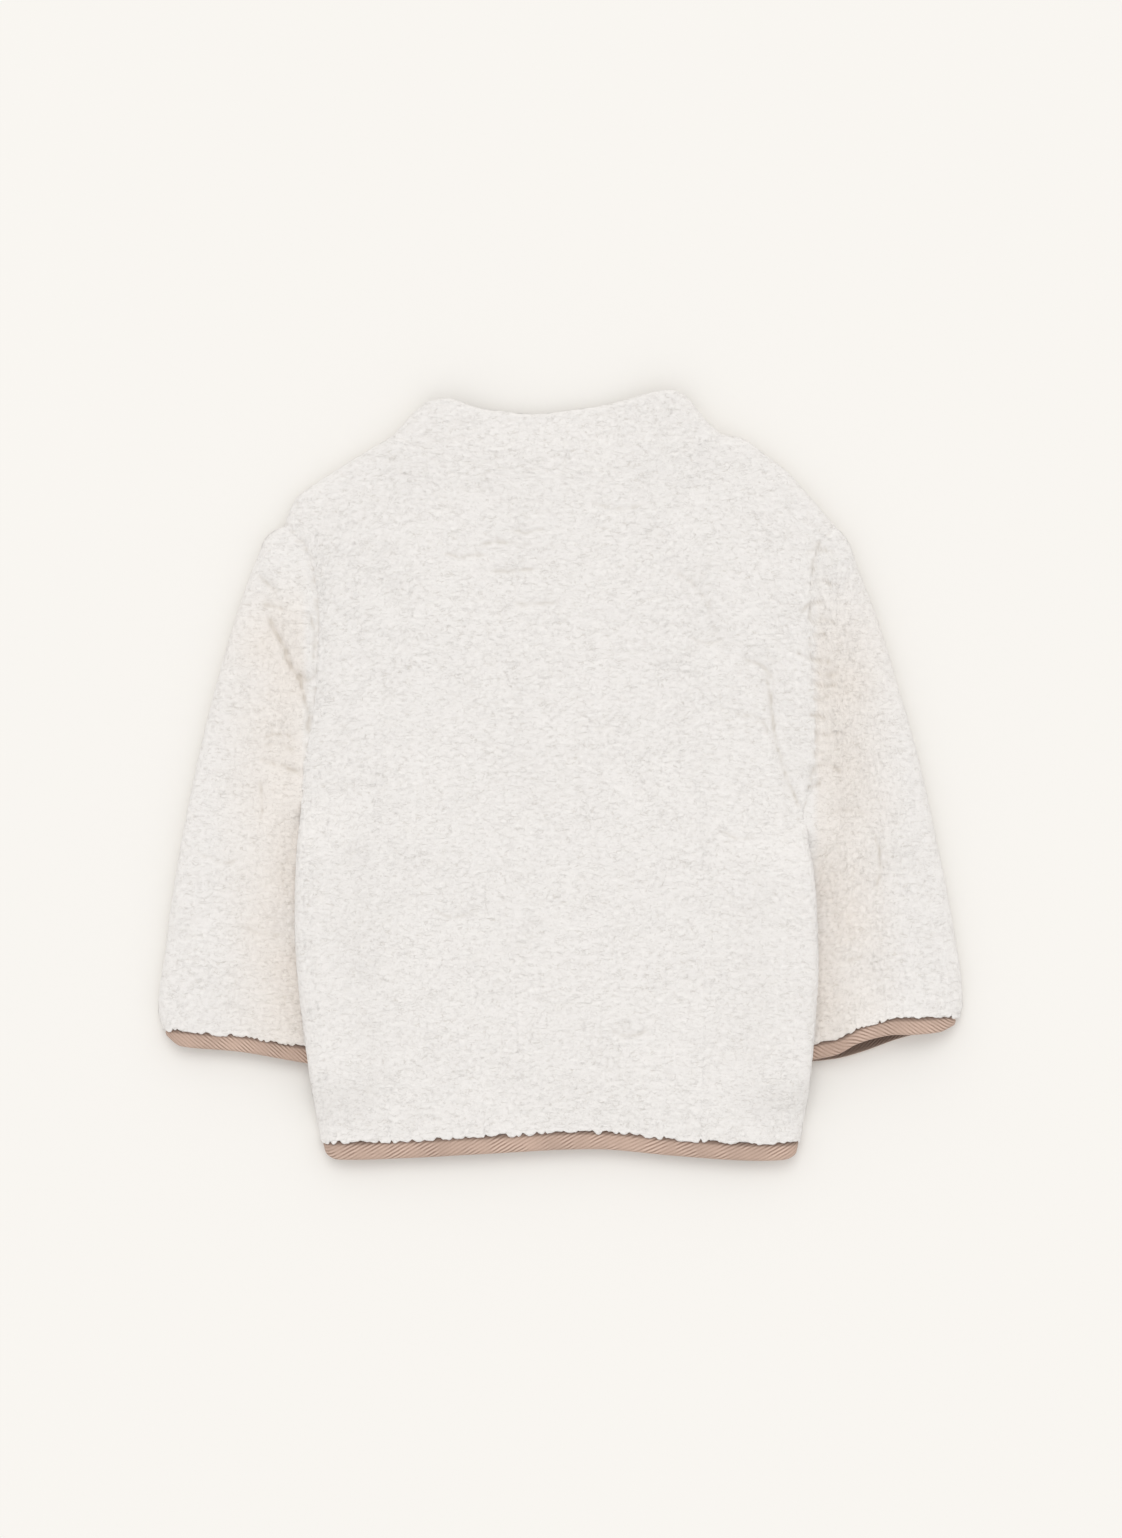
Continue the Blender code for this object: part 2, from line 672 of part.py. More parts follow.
def make_hem_tape(tube, tape):
    """The tape along the back's hem, round both side folds and along the fronts to their edges."""
    half, whole = body_columns()
    edge = 0.5 - FRONT_GAP / 2 / 262.0
    shares = np.concatenate([half, [edge - 4.0 / 262.0, edge]])
    front = np.concatenate([shares, (1 - shares)[::-1]])
    rows = []
    for far in TAPE_ROWS:
        points, normals = tube.skin(UPPER, whole, far / tube.plans[UPPER].length(whole))
        below, under = tube.skin(LOWER, front, far / tube.plans[LOWER].length(front))
        split = len(shares)
        # From the right front's edge, out round the right fold, over the back and round to the left.
        run = np.concatenate([below[split:], points[-2:0:-1], below[:split]])
        out = np.concatenate([under[split:], normals[-2:0:-1], under[:split]])
        for place in (split - 1, split + len(whole) - 2):
            out[place, 2] = 0.0
        rows.append((run, out))
    corners = [rows[row][0] - rows[row][1] * depth for row, depth in TAPE_OUTLINE]
    swept("hem_tape", np.stack(corners, axis=1), tape, loop=False)


# Distances from the collar's top edge, and how far each face there draws in to round it.
TOP_ROUND = ((0.0, 2.2), (0.9, 0.8), (3.0, 0.0))


def make_collar(tube, fleece):
    """The doubled stand collar, from one front's edge round the neck to the other."""
    half, whole = body_columns()
    inside = (half >= NECK_SHARE - 1e-9)
    half = (half[inside] - NECK_SHARE) / (1 - 2 * NECK_SHARE)
    whole = np.concatenate([half, [0.5], (1 - half)[::-1]])
    edge = 0.5 - FRONT_GAP / 2 / 165.0
    shares = np.concatenate([half, [edge - 4.0 / 165.0, edge]])
    front = np.concatenate([shares, (1 - shares)[::-1]])
    layers = []
    for layer, columns in ((UPPER, whole), (LOWER, front)):
        length = tube.plans[layer].length(columns)[None, :]
        start = np.array([0.0, 1.6, GROOVE_REACH])[:, None] / length
        end = 1 - np.array([far for far, _ in TOP_ROUND])[::-1, None] / length
        middle = np.linspace(0, 1, 4)[1:-1, None] * (end[:1] - start[-1:]) + start[-1:]
        v = np.concatenate([start, middle, end])
        layers.append(tube.skin(layer, np.broadcast_to(columns, v.shape), v))
    split = len(shares)
    (points, normals), (below, under) = layers
    points = np.concatenate([below[:, split:], points[:, -2:0:-1], below[:, :split]], axis=1)
    normals = np.concatenate([under[:, split:], normals[:, -2:0:-1], under[:, :split]], axis=1)
    rows, columns = points.shape[:2]
    top = np.zeros((rows, columns))
    bottom = np.full((rows, columns), COLLAR_WALL)
    top[:3] += groove(np.array([0.0, 1.6, GROOVE_REACH]))[:, None]
    for index, (_, drawn) in enumerate(TOP_ROUND):
        top[-1 - index] = drawn
        bottom[-1 - index] = COLLAR_WALL - drawn
    wall("collar", points, normals, top, bottom, fleece)


def cloth_material(name, colour, roughness):
    material = bpy.data.materials.new(name)
    material.use_nodes = True
    shader = material.node_tree.nodes["Principled BSDF"]
    shader.inputs["Base Color"].default_value = colour
    shader.inputs["Roughness"].default_value = roughness
    shader.inputs["Metallic"].default_value = 0.0
    return material


def main():
    for thing in list(bpy.data.objects):
        bpy.data.objects.remove(thing)
    fleece = cloth_material("fleece", FLEECE_COLOUR, 0.95)
    tape = cloth_material("twill_tape", TAPE_COLOUR, 0.8)
    body = body_tube()
    make_body(body, fleece)
    make_hem_tape(body, tape)
    for side in Sides._fields:
        make_sleeve(sleeve_tube(side), side, fleece, tape)
    make_collar(collar_tube(), fleece)


main()
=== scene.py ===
"""The looks of a toddler's teddy-fleece jacket that lies flat with its back up.

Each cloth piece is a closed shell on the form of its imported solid: a fine outer face that carries
the curly pile, and a plain inner face. Sizes in the tables are in millimetres, as the jacket lies.
"""

from collections import namedtuple

import bpy
import numpy as np
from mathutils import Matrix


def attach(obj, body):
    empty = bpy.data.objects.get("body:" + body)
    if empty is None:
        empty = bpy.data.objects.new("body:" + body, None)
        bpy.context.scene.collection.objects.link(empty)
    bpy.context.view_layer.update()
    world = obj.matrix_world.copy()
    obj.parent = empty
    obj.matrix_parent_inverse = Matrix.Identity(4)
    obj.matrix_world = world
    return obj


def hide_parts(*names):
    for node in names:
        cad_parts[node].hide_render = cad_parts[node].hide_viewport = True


bl_info = {
    "name": "Teddy fleece jacket",
    "version": (1, 0, 0),
    "blender": (4, 5, 0),
    "location": "3D View > Sidebar > Jacket",
    "description": "Builds a toddler's fleece jacket, laid flat, on its packed solids",
    "category": "Add Mesh",
}

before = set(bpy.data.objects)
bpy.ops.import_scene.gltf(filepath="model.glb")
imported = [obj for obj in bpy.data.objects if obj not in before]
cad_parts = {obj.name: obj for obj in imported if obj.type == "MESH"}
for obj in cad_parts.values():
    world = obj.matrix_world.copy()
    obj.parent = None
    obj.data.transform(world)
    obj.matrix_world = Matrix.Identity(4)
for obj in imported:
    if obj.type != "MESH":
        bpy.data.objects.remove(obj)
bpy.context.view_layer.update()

MM = 0.001
UPPER = 1
LOWER = -1
UNDERARM_SHARE = 0.52
NECK_SHARE = 0.2

Spot = namedtuple("Spot", "x y")
Sides = namedtuple("Sides", "left right")
Fold = namedtuple("Fold", "x0 y0 x1 y1 height width")
Crease = namedtuple("Crease", "depth width spots")

# The jacket's outline as it lies, in millimetres: the body's lines run upwards, and the sleeve's
# run down to the cuff
SIDE_SEAM = Sides(
    [Spot(-125, -195), Spot(-128, -179), Spot(-131, -158), Spot(-137, -110), Spot(-139, -78),
     Spot(-138, -40), Spot(-135, -8)],
    [Spot(126, -194), Spot(128, -181), Spot(131, -160), Spot(135, -109), Spot(135, -80),
     Spot(133, -50), Spot(128, -20)],
)
ARMHOLE = Sides(
    [Spot(-135, -8), Spot(-135.2, 3), Spot(-131.6, 21), Spot(-128, 50), Spot(-127, 90),
     Spot(-133, 118), Spot(-145, 132)],
    [Spot(128, -20), Spot(134, 14), Spot(133, 45), Spot(131, 70), Spot(134, 118),
     Spot(144, 132)],
)
SHOULDER = Sides(
    [Spot(-145, 132), Spot(-142, 140), Spot(-138, 147), Spot(-126, 155.5), Spot(-113, 164),
     Spot(-88, 179)],
    [Spot(144, 132), Spot(137.5, 139.5), Spot(131, 147.5), Spot(119, 160.5), Spot(106, 170.5),
     Spot(97, 177), Spot(85, 180)],
)
COLLAR_SIDE = Sides(
    [Spot(-88, 179), Spot(-81, 187), Spot(-73, 195)],
    [Spot(85, 180), Spot(78, 186), Spot(70, 196)],
)
SLEEVE_OUTER = Sides(
    [Spot(-145, 132), Spot(-154.5, 126), Spot(-158.5, 117), Spot(-168, 92), Spot(-182, 45),
     Spot(-193, -2), Spot(-202, -49), Spot(-208, -92), Spot(-211.5, -121), Spot(-208, -137)],
    [Spot(144, 132), Spot(151.5, 124), Spot(157, 109), Spot(168, 80), Spot(176.5, 52),
     Spot(188, 12), Spot(198, -33), Spot(206.5, -76), Spot(212, -118), Spot(208.5, -131.5)],
)
SLEEVE_INNER = Sides(
    [Spot(-135, -8), Spot(-135.3, -14), Spot(-134.2, -23), Spot(-131.5, -37),
     Spot(-129, -56), Spot(-126, -90), Spot(-120, -153)],
    [Spot(128, -20), Spot(126.2, -33), Spot(125, -48), Spot(124, -72), Spot(123, -105),
     Spot(120, -151)],
)
CUFF_UPPER = Sides(
    [Spot(-208, -137), Spot(-200, -141.5), Spot(-168, -144.6), Spot(-140, -149.5),
     Spot(-120, -153)],
    [Spot(208.5, -131.5), Spot(200, -134), Spot(186, -135.3), Spot(172, -135.7),
     Spot(156, -140), Spot(146, -145.8), Spot(134, -148.8), Spot(120, -151)],
)
CUFF_LOWER = Sides(
    [Spot(-208, -137), Spot(-189, -140), Spot(-154, -145), Spot(-120, -153)],
    [Spot(208.5, -131.5), Spot(190, -135), Spot(176, -138.8), Spot(160, -144.6),
     Spot(145, -148.6), Spot(120, -151)],
)
HEM_BACK = [
    Spot(-125, -195), Spot(-123.2, -199), Spot(-117.5, -201), Spot(-80, -200.2),
    Spot(-40, -198), Spot(18, -195.5), Spot(60, -199), Spot(96, -201.4), Spot(118.5, -201),
    Spot(124.3, -199), Spot(126, -194),
]
HEM_FRONT = [
    Spot(-125, -195), Spot(-112, -198.5), Spot(-60, -196), Spot(0, -194), Spot(62, -196),
    Spot(113, -198.5), Spot(126, -194),
]
NECK_BACK = [
    Spot(-88, 179), Spot(-66, 170), Spot(-38, 162.5), Spot(0, 161), Spot(38, 163),
    Spot(62, 171), Spot(85, 180),
]
NECK_FRONT = [Spot(-88, 179), Spot(-72, 155), Spot(-40, 133), Spot(0, 126), Spot(40, 133),
              Spot(70, 155), Spot(85, 180)]
COLLAR_TOP_BACK = [
    Spot(-73, 195), Spot(-69, 198.3), Spot(-61, 199), Spot(-53, 197), Spot(-45, 193.8),
    Spot(-34, 192.2), Spot(-14, 190.4), Spot(6, 192.4), Spot(24, 195.2), Spot(40, 199.4),
    Spot(55, 203), Spot(63.5, 203), Spot(70, 196),
]
COLLAR_TOP_FRONT = [Spot(-73, 195), Spot(-60, 176), Spot(-34, 161), Spot(0, 156),
                    Spot(34, 161), Spot(58, 176), Spot(70, 196)]

# Walls, widths and how the layers lie, in millimetres
FLEECE_WALL = 4.5
COLLAR_WALL = 6.0
TAPE_WALL = 0.8
TAPE_SINK = 0.25
LOOSE_STACK = 11.5
LEAST_STACK = 9.6
COLLAR_STACK = 13.6
PRESSED_STACK = 9.8
FOLD_REACH = 8.0
SQUEEZED_REACH = 4.2
SQUEEZE_START = 40.0
SQUEEZE_FALL = 35.0
UNDERARM_TURN = 0.3
UNDERARM_FADE = 18.0
SLEEVE_BULGE = 70.0
BULGE_PEAK = 0.2
TUCK_LIFT = 10.5
LIFT_EDGE = 16.0
LIFT_SLOPE = 32.0
LIFT_START = 32.0
LIFT_END = -156.0
LIFT_FALL = 28.0
ARMHOLE_SHIFT = Spot(-0.25, 0.1)
COLLAR_SHIFT = Spot(0.0, -0.25)
BODY_WIDTH = 262.0
NECK_WIDTH = 165.0
FRONT_GAP = 0.8
NECK_SOFTNESS = 1.6
FOLD_SWAY = 1.6
CREASE_SWAY = 1.1
CREASE_STEP = 0.5
CREASE_REACH = 3
CREASE_FADE = 2.6
CHAIN_POINTS = 70
PLACES_AT_ONCE = 3000
COLLAR_START = 150
COLLAR_RISE = 25
COLLAR_HALF = 105
COLLAR_ENDS = 20
COVER_EDGE = 24
COVER_SLOPE = 22
COVER_START = 25
UNDER_CREASES = 0.8
UNDER_FOLDS = 0.45

# The collar's height, the run of its rows, and how its top edge turns in
COLLAR_HEIGHT = 34.0
COLLAR_RUN = 38.0
COLLAR_LIP = np.array([2.4, 1.3, 0.5, 0.0])
COLLAR_TURN_IN = 2.2
COLLAR_DRAWN = 1.9
COLLAR_EDGE = 0.05

# The tapes: the fold round the edge, the dip under the pile, the puckers, the twill, and the painted
# shade under the pile's lip and on the inner face inside the cuff
TAPE_DIP = 1.1
TAPE_ROUND = 7
TAPE_TURN = 2.0
TAPE_FLAT = 10
DIP_START = 3.5
DIP_RUN = 4.5
INNER_TURN = 1.2
INNER_HALF = 0.4
CORNER_SINK = 2.2
PUCKER = 0.16
PUCKER_SIZE = 4.5
LIP_SHADE = 0.8
LIP_SHADE_START = 1.0
LIP_SHADE_FADE = 1.6
TURNED_SHARE = 0.52
TURNED_FADE = 1.2
FULL_TURN = 6.2832
HEM_SLANT = np.radians(28)
CUFF_SLANT = np.radians(-38)

# The pile: how its clumps are mixed
SQUAT = (1.0, 1.22, 1.0)
PARTING_SHARE = 0.42
HOLLOW_SHARE = 0.20
SMALL_SHARE = 0.26
GRAIN_SHARE = 0.10
PILE_TOP = 1.06

# The pile at seams, at the tape and where it can't be seen, and the painted shade in its creases and
# along its seams
SEAM_REACH = 3.6
WAVER = 0.6
WAVER_REACH = 6.0
SEAM_SHADE_REACH = 2.6
SEAM_SHADE_TONE = 0.75
CREASE_LINE = 0.85
CREASE_SHADE = 1.1
SIDE_PILE = 0.72
HIDDEN_PILE = 0.45
CALM_SHARE = 0.8
CALM_REACH = 26.0
LIP_PRESSED = np.array([0.0, 0.0, 0.0, 0.1, 0.25, 0.5, 0.8])
LIP_DEPTHS = np.array([2.4, 1.1, 0.95, 0.5, 0.06, 0.0, 0.0])
CORNER_NARROWING = 0.42
CORNER_REACH = 6.5

# The painted warm shade on the sleeves beside the body, which shades them: where it starts, how far it
# goes, and where it ends at the top
CAST_SIDE = 131
CAST_RISE = 6
CAST_HOLD = 14
CAST_FADE = 42
CAST_TOP = 115
CAST_TOP_FADE = 50

# Mesh spacings: the step between points, and how many points a folded edge's curve has
Spacing = namedtuple("Spacing", "step curve")
FACE_CURVE = 12
PLAIN_CURVE = 9
HEM_TAPE_STEP = 0.9
CUFF_TAPE_STEP = 0.8
FRONT_COARSENESS = 1.9
SLEEVE_COARSENESS = 0.95
BODY_INSIDE = Spacing(9.0, 4)
SLEEVE_INSIDE = Spacing(7.0, 5)
COLLAR_INSIDE = Spacing(8.0, 4)
BODY_INSIDE_ROWS = 48
SLEEVE_INSIDE_ROWS = 44

# The cut of each sheet, in metres: width and length
SLEEVE_CUTS = Sides((0.180, 0.283), (0.178, 0.281))

# The stage, in metres and degrees, with the camera's film in millimetres
FLOOR_SIZE = 14.0
FLOOR_DROP = 0.0003
LAMP_TURN = (-30, -2, 0)
LAMP_SPREAD = 34
CAMERA_OVER = (0.0005, 0.0039)
FILM_WIDTH = 36.0
CAMERA_REACH = 50
FIELD_HEIGHT = 0.008

MAIN_FOLDS = (
    Fold(-159, 90, -136, 48, -2.3, 6),  # crease from the left sleeve head to the underarm
    Fold(-146, 110, -131, 62, 2.6, 9),
    Fold(-144, 22, -158, -14, -1.8, 9),  # hollow above the left elbow
    Fold(-146, -15, -150, -75, 1.2, 9),
    Fold(158, 9, 157, -90, -0.3, 9),  # hollow down the right sleeve
    Fold(145, 30, 147, -95, 1.5, 9),
    Fold(63, 107, 78, 76, -1.2, 9),  # drag line from the right shoulder blade
    Fold(78, 76, 106, 52, -1.6, 8),
    Fold(107, 58, 127, -18, -2.0, 7),  # its end at the right underarm
    Fold(121, 52, 127, 8, 1.6, 8),
    Fold(-49, 53, -37, -175, -1.1, 15),  # soft trough down the back
    Fold(64, -76, 76, -116, -1.0, 14),
    Fold(-10, -150, 34, -160, 1.4, 22),  # swell above the middle of the hem
    Fold(-80, -4, -52, -38, 0.8, 18),
    Fold(-8, 2, 32, -22, 0.8, 18),
)
CREASES = (
    # The crease that runs from the left sleeve's head to the underarm, and the pulls beside it
    Crease(1.8, 2.1, [Spot(-154.5, 86), Spot(-149, 76), Spot(-144.5, 67), Spot(-140.5, 57),
                      Spot(-136.5, 49), Spot(-134, 40), Spot(-132, 30), Spot(-131, 20)]),
    Crease(1.0, 2.2, [Spot(-159, 105), Spot(-153, 101), Spot(-149, 95)]),
    Crease(0.9, 2.2, [Spot(-156, 90), Spot(-150, 89), Spot(-144, 87)]),
    Crease(0.9, 2.0, [Spot(-138, 54), Spot(-133, 50), Spot(-127, 51)]),
    Crease(1.0, 2.0, [Spot(-131, 86), Spot(-129, 72), Spot(-130, 60)]),
    Crease(1.0, 2.4, [Spot(-157, 9), Spot(-147, 6.5), Spot(-136, 1)]),
    Crease(0.8, 2.0, [Spot(-155, 15), Spot(-146, 17), Spot(-139, 13)]),
    Crease(0.8, 2.4, [Spot(-156, 20), Spot(-148, 22), Spot(-138, 19)]),
    Crease(1.1, 4.0, [Spot(-158, -2), Spot(-156, -12), Spot(-158, -24)]),
    Crease(0.7, 2.4, [Spot(-166, -78), Spot(-152, -84), Spot(-141, -82)]),
    Crease(0.6, 2.6, [Spot(-188, -40), Spot(-178, -46), Spot(-168, -44)]),
    # Puckers across the right armhole seam
    Crease(1.0, 2.0, [Spot(129, 116), Spot(136, 118.5), Spot(144, 117)]),
    Crease(0.9, 1.8, [Spot(131, 108), Spot(138, 110)]),
    Crease(1.1, 2.0, [Spot(129, 101), Spot(137, 102.5), Spot(144, 100)]),
    Crease(1.0, 2.0, [Spot(125, 86), Spot(131, 90), Spot(139, 92)]),
    Crease(0.9, 2.0, [Spot(131, 80), Spot(138, 82), Spot(145, 80)]),
    Crease(1.1, 2.2, [Spot(124, 66), Spot(131, 61), Spot(143, 59)]),
    Crease(0.9, 2.0, [Spot(130, 50), Spot(137, 47), Spot(146, 48)]),
    Crease(0.9, 1.8, [Spot(133, 73), Spot(140, 75)]),
    Crease(1.0, 1.8, [Spot(132, 55), Spot(139, 53), Spot(146, 55)]),
    Crease(0.9, 1.8, [Spot(134, 40), Spot(141, 42)]),
    Crease(1.0, 2.0, [Spot(131, 33), Spot(140, 30)]),
    Crease(0.9, 1.8, [Spot(133, 23), Spot(140, 21), Spot(147, 23)]),
    Crease(0.8, 1.8, [Spot(132, 13), Spot(139, 12)]),
    Crease(1.0, 1.8, [Spot(130, 4), Spot(139, 6), Spot(148, 3)]),
    Crease(0.9, 1.8, [Spot(129, -6), Spot(137, -4)]),
    # Drag lines from the right shoulder blade to the right underarm
    Crease(0.6, 2.6, [Spot(56, 108), Spot(66, 104), Spot(76, 94), Spot(80, 84)]),
    Crease(0.6, 2.2, [Spot(68, 73), Spot(78, 70), Spot(86, 72)]),
    Crease(0.8, 2.4, [Spot(96, 62), Spot(106, 58), Spot(113, 50)]),
    Crease(1.3, 2.2, [Spot(109, 55), Spot(110.5, 41), Spot(111.6, 29), Spot(114.4, 14),
                      Spot(119.6, -2), Spot(126, -19)]),
    Crease(0.7, 2.2, [Spot(92, 34), Spot(104, 30), Spot(110, 22)]),
    # Small creases under the collar
    Crease(0.8, 2.2, [Spot(-45, 121), Spot(-32, 123), Spot(-16, 121)]),
    Crease(0.8, 2.2, [Spot(-37, 108), Spot(-24, 107), Spot(-11, 109)]),
    Crease(0.7, 2.0, [Spot(-61, 117), Spot(-50, 115), Spot(-39, 117)]),
    Crease(0.7, 2.0, [Spot(-26, 129), Spot(-16, 128), Spot(-7, 130)]),
    Crease(0.7, 2.2, [Spot(16, 144), Spot(30, 140), Spot(44, 142)]),
    Crease(0.6, 2.2, [Spot(-24, 92), Spot(-12, 90), Spot(2, 93)]),
    # Soft dents lower down the back and on the right sleeve
    Crease(0.7, 2.6, [Spot(27, -133), Spot(36, -136), Spot(46, -133)]),
    Crease(0.6, 2.6, [Spot(-66, -70), Spot(-55, -74), Spot(-44, -71)]),
    Crease(0.6, 2.6, [Spot(84, -28), Spot(95, -33), Spot(104, -31)]),
    Crease(1.0, 3.6, [Spot(165, -30), Spot(168, -44), Spot(166, -60)]),
    Crease(0.5, 2.6, [Spot(142, -20), Spot(152, -17), Spot(162, -21)]),
    Crease(0.7, 2.6, [Spot(140, -92), Spot(150, -96), Spot(160, -93)]),
)
CUFF_MOUTH = Fold(160, -140, 182, -138, 6.0, 17)
COLLAR_SAG = Fold(-25, 192, 25, 193, -4.5, 20)

BODY_MIDDLE = (0.0, 0.0)
SLEEVE_MIDDLE = Sides((-160.0, -30.0), (160.0, -30.0))


# Settings that a user would change
class JacketFleece(bpy.types.PropertyGroup):
    """The teddy fleece."""

    step: bpy.props.FloatProperty(
        name="Mesh step", description="Distance between points on the shown face",
        default=0.00108, min=0.0006, max=0.006, unit="LENGTH", precision=5)
    curl: bpy.props.FloatProperty(
        name="Curl size", description="Width of a clump of curled pile",
        default=0.0036, min=0.002, max=0.012, unit="LENGTH", precision=4)
    depth: bpy.props.FloatProperty(
        name="Pile depth", description="How far the creases between clumps go in",
        default=0.00115, min=0.0, max=0.004, unit="LENGTH", precision=4)
    seam_depth: bpy.props.FloatProperty(
        name="Seam depth", description="How far a seam draws the pile in",
        default=0.0005, min=0.0, max=0.003, unit="LENGTH", precision=4)
    tip: bpy.props.FloatVectorProperty(
        name="Tip colour", description="Colour at the tips of the pile", subtype="COLOR",
        size=4, min=0, max=1, default=(0.905, 0.873, 0.841, 1.0))
    # Painted shade: the pile's colour deep between its clumps, in the partings, in the creases and
    # along the seams
    root: bpy.props.FloatVectorProperty(
        name="Root colour", description="Colour deep in the pile", subtype="COLOR",
        size=4, min=0, max=1, default=(0.705, 0.660, 0.605, 1.0))
    # Painted shade: a warm tint that darkens the sleeves beside the body, where the body shades them
    blush: bpy.props.FloatVectorProperty(
        name="Blush colour", description="Warmer cast of the sleeves beside the body",
        subtype="COLOR", size=4, min=0, max=1, default=(1.0, 0.960, 0.918, 1.0))


class JacketTape(bpy.types.PropertyGroup):
    """The twill tape on the hem and the cuffs."""

    width: bpy.props.FloatProperty(
        name="Tape width", description="Width of the tape on one face of the cloth",
        default=0.0093, min=0.005, max=0.02, unit="LENGTH", precision=4)
    pitch: bpy.props.FloatProperty(
        name="Twill pitch", description="Distance between two twill lines",
        default=0.00172, min=0.0006, max=0.004, unit="LENGTH", precision=5)
    light: bpy.props.FloatVectorProperty(
        name="Light yarn", description="Colour of the raised yarn", subtype="COLOR",
        size=4, min=0, max=1, default=(0.66, 0.49, 0.40, 1.0))
    dark: bpy.props.FloatVectorProperty(
        name="Dark yarn", description="Colour between the raised yarns", subtype="COLOR",
        size=4, min=0, max=1, default=(0.33, 0.215, 0.16, 1.0))
    # Painted shadow: the tape's colour on the inner face inside the cuff's mouth and under the pile's
    # lip
    inner: bpy.props.FloatVectorProperty(
        name="Inner colour", description="Darker cast of the tape inside the garment",
        subtype="COLOR", size=4, min=0, max=1, default=(0.05, 0.028, 0.018, 1.0))


class JacketStage(bpy.types.PropertyGroup):
    """Floor, light and camera."""

    floor: bpy.props.FloatVectorProperty(
        name="Floor colour", description="Colour of the plain floor", subtype="COLOR",
        size=4, min=0, max=1, default=(0.865, 0.842, 0.804, 1.0))
    sky: bpy.props.FloatProperty(
        name="Sky strength", description="Strength of the even light", default=0.93, min=0)
    sun: bpy.props.FloatProperty(
        name="Lamp strength", description="Strength of the soft slanting light",
        default=0.60, min=0)
    distance: bpy.props.FloatProperty(
        name="Camera height", description="Height of the camera over the floor",
        default=2.4, min=0.5, unit="LENGTH")
    field: bpy.props.FloatProperty(
        name="Field height", description="Length of floor that the picture's long side shows",
        default=0.807, min=0.2, unit="LENGTH")


# Lines, patches and tubes
def smoothstep(value):
    share = np.clip(value, 0.0, 1.0)
    return share * share * (3.0 - 2.0 * share)


def through(spots, shares):
    """The places at these shares of a smooth line through the spots."""
    spots = np.array(spots, float)
    shares = np.asarray(shares, float)
    knots = np.concatenate([[0.0], np.cumsum(np.linalg.norm(np.diff(spots, axis=0), axis=1))])
    knots /= knots[-1]
    slopes = np.empty_like(spots)
    slopes[1:-1] = (spots[2:] - spots[:-2]) / (knots[2:] - knots[:-2])[:, None]
    slopes[0] = (spots[1] - spots[0]) / knots[1]
    slopes[-1] = (spots[-1] - spots[-2]) / (1.0 - knots[-2])
    first = np.clip(np.searchsorted(knots, shares, side="right") - 1, 0, len(spots) - 2)
    span = (knots[first + 1] - knots[first])[..., None]
    t = (shares - knots[first])[..., None] / span
    return (
        (2 * t**3 - 3 * t**2 + 1) * spots[first]
        + (t**3 - 2 * t**2 + t) * span * slopes[first]
        + (3 * t**2 - 2 * t**3) * spots[first + 1]
        + (t**3 - t**2) * span * slopes[first + 1]
    )


def line(spots):
    return lambda shares: through(spots, shares)


def joined(first, second, corner):
    """Two lines as one that passes from the first to the second at the corner's share."""

    def place(shares):
        shares = np.asarray(shares, float)
        low = through(first, np.clip(shares / corner, 0, 1))
        high = through(second, np.clip((shares - corner) / (1 - corner), 0, 1))
        return np.where((shares < corner)[..., None], low, high)

    return place


def body_top(neck):
    """The body's upper edge: shoulder, neck seam, shoulder."""

    def place(shares):
        shares = np.asarray(shares, float)
        left = through(SHOULDER.left, np.clip(shares / NECK_SHARE, 0, 1))
        middle = through(neck, np.clip((shares - NECK_SHARE) / (1 - 2 * NECK_SHARE), 0, 1))
        right = through(SHOULDER.right, np.clip((1 - shares) / NECK_SHARE, 0, 1))
        inner = np.where((shares > 1 - NECK_SHARE)[..., None], right, middle)
        return np.where((shares < NECK_SHARE)[..., None], left, inner)

    return place


class Patch:
    """A piece of plan between four lines. u crosses it and v runs along it.

    A bulge moves its lines sideways just past the start, by the high line. They then fan out round
    a corner that is nearly straight, as at an underarm.
    """

    def __init__(self, start, end, low, high, bulge=0.0):
        self.start, self.end, self.low, self.high = start, end, low, high
        self.bulge = bulge

    def place(self, u, v):
        u, v = np.broadcast_arrays(u, v)
        across, along = u[..., None], v[..., None]
        corners = [edge(np.array(end)) for edge in (self.start, self.end) for end in (0.0, 1.0)]
        level = (1 - along) * ((1 - across) * corners[0] + across * corners[1])
        level = level + along * ((1 - across) * corners[2] + across * corners[3])
        ruled = (1 - along) * self.start(u) + along * self.end(u)
        sided = (1 - across) * self.low(v) + across * self.high(v)
        fan = u**2 * (1 - u) * v / BULGE_PEAK * np.exp(1 - v / BULGE_PEAK) * (1 - v)
        aside = np.stack([fan * self.bulge, np.zeros_like(fan)], axis=-1)
        return ruled + sided - level + aside

    def length(self, u):
        run = self.place(np.asarray(u)[None, :], np.linspace(0, 1, 25)[:, None])
        return np.linalg.norm(np.diff(run, axis=0), axis=2).sum(0)

    def width(self, v):
        run = self.place(np.linspace(0, 1, 25)[:, None], np.asarray(v)[None, :])
        return np.linalg.norm(np.diff(run, axis=0), axis=2).sum(0)


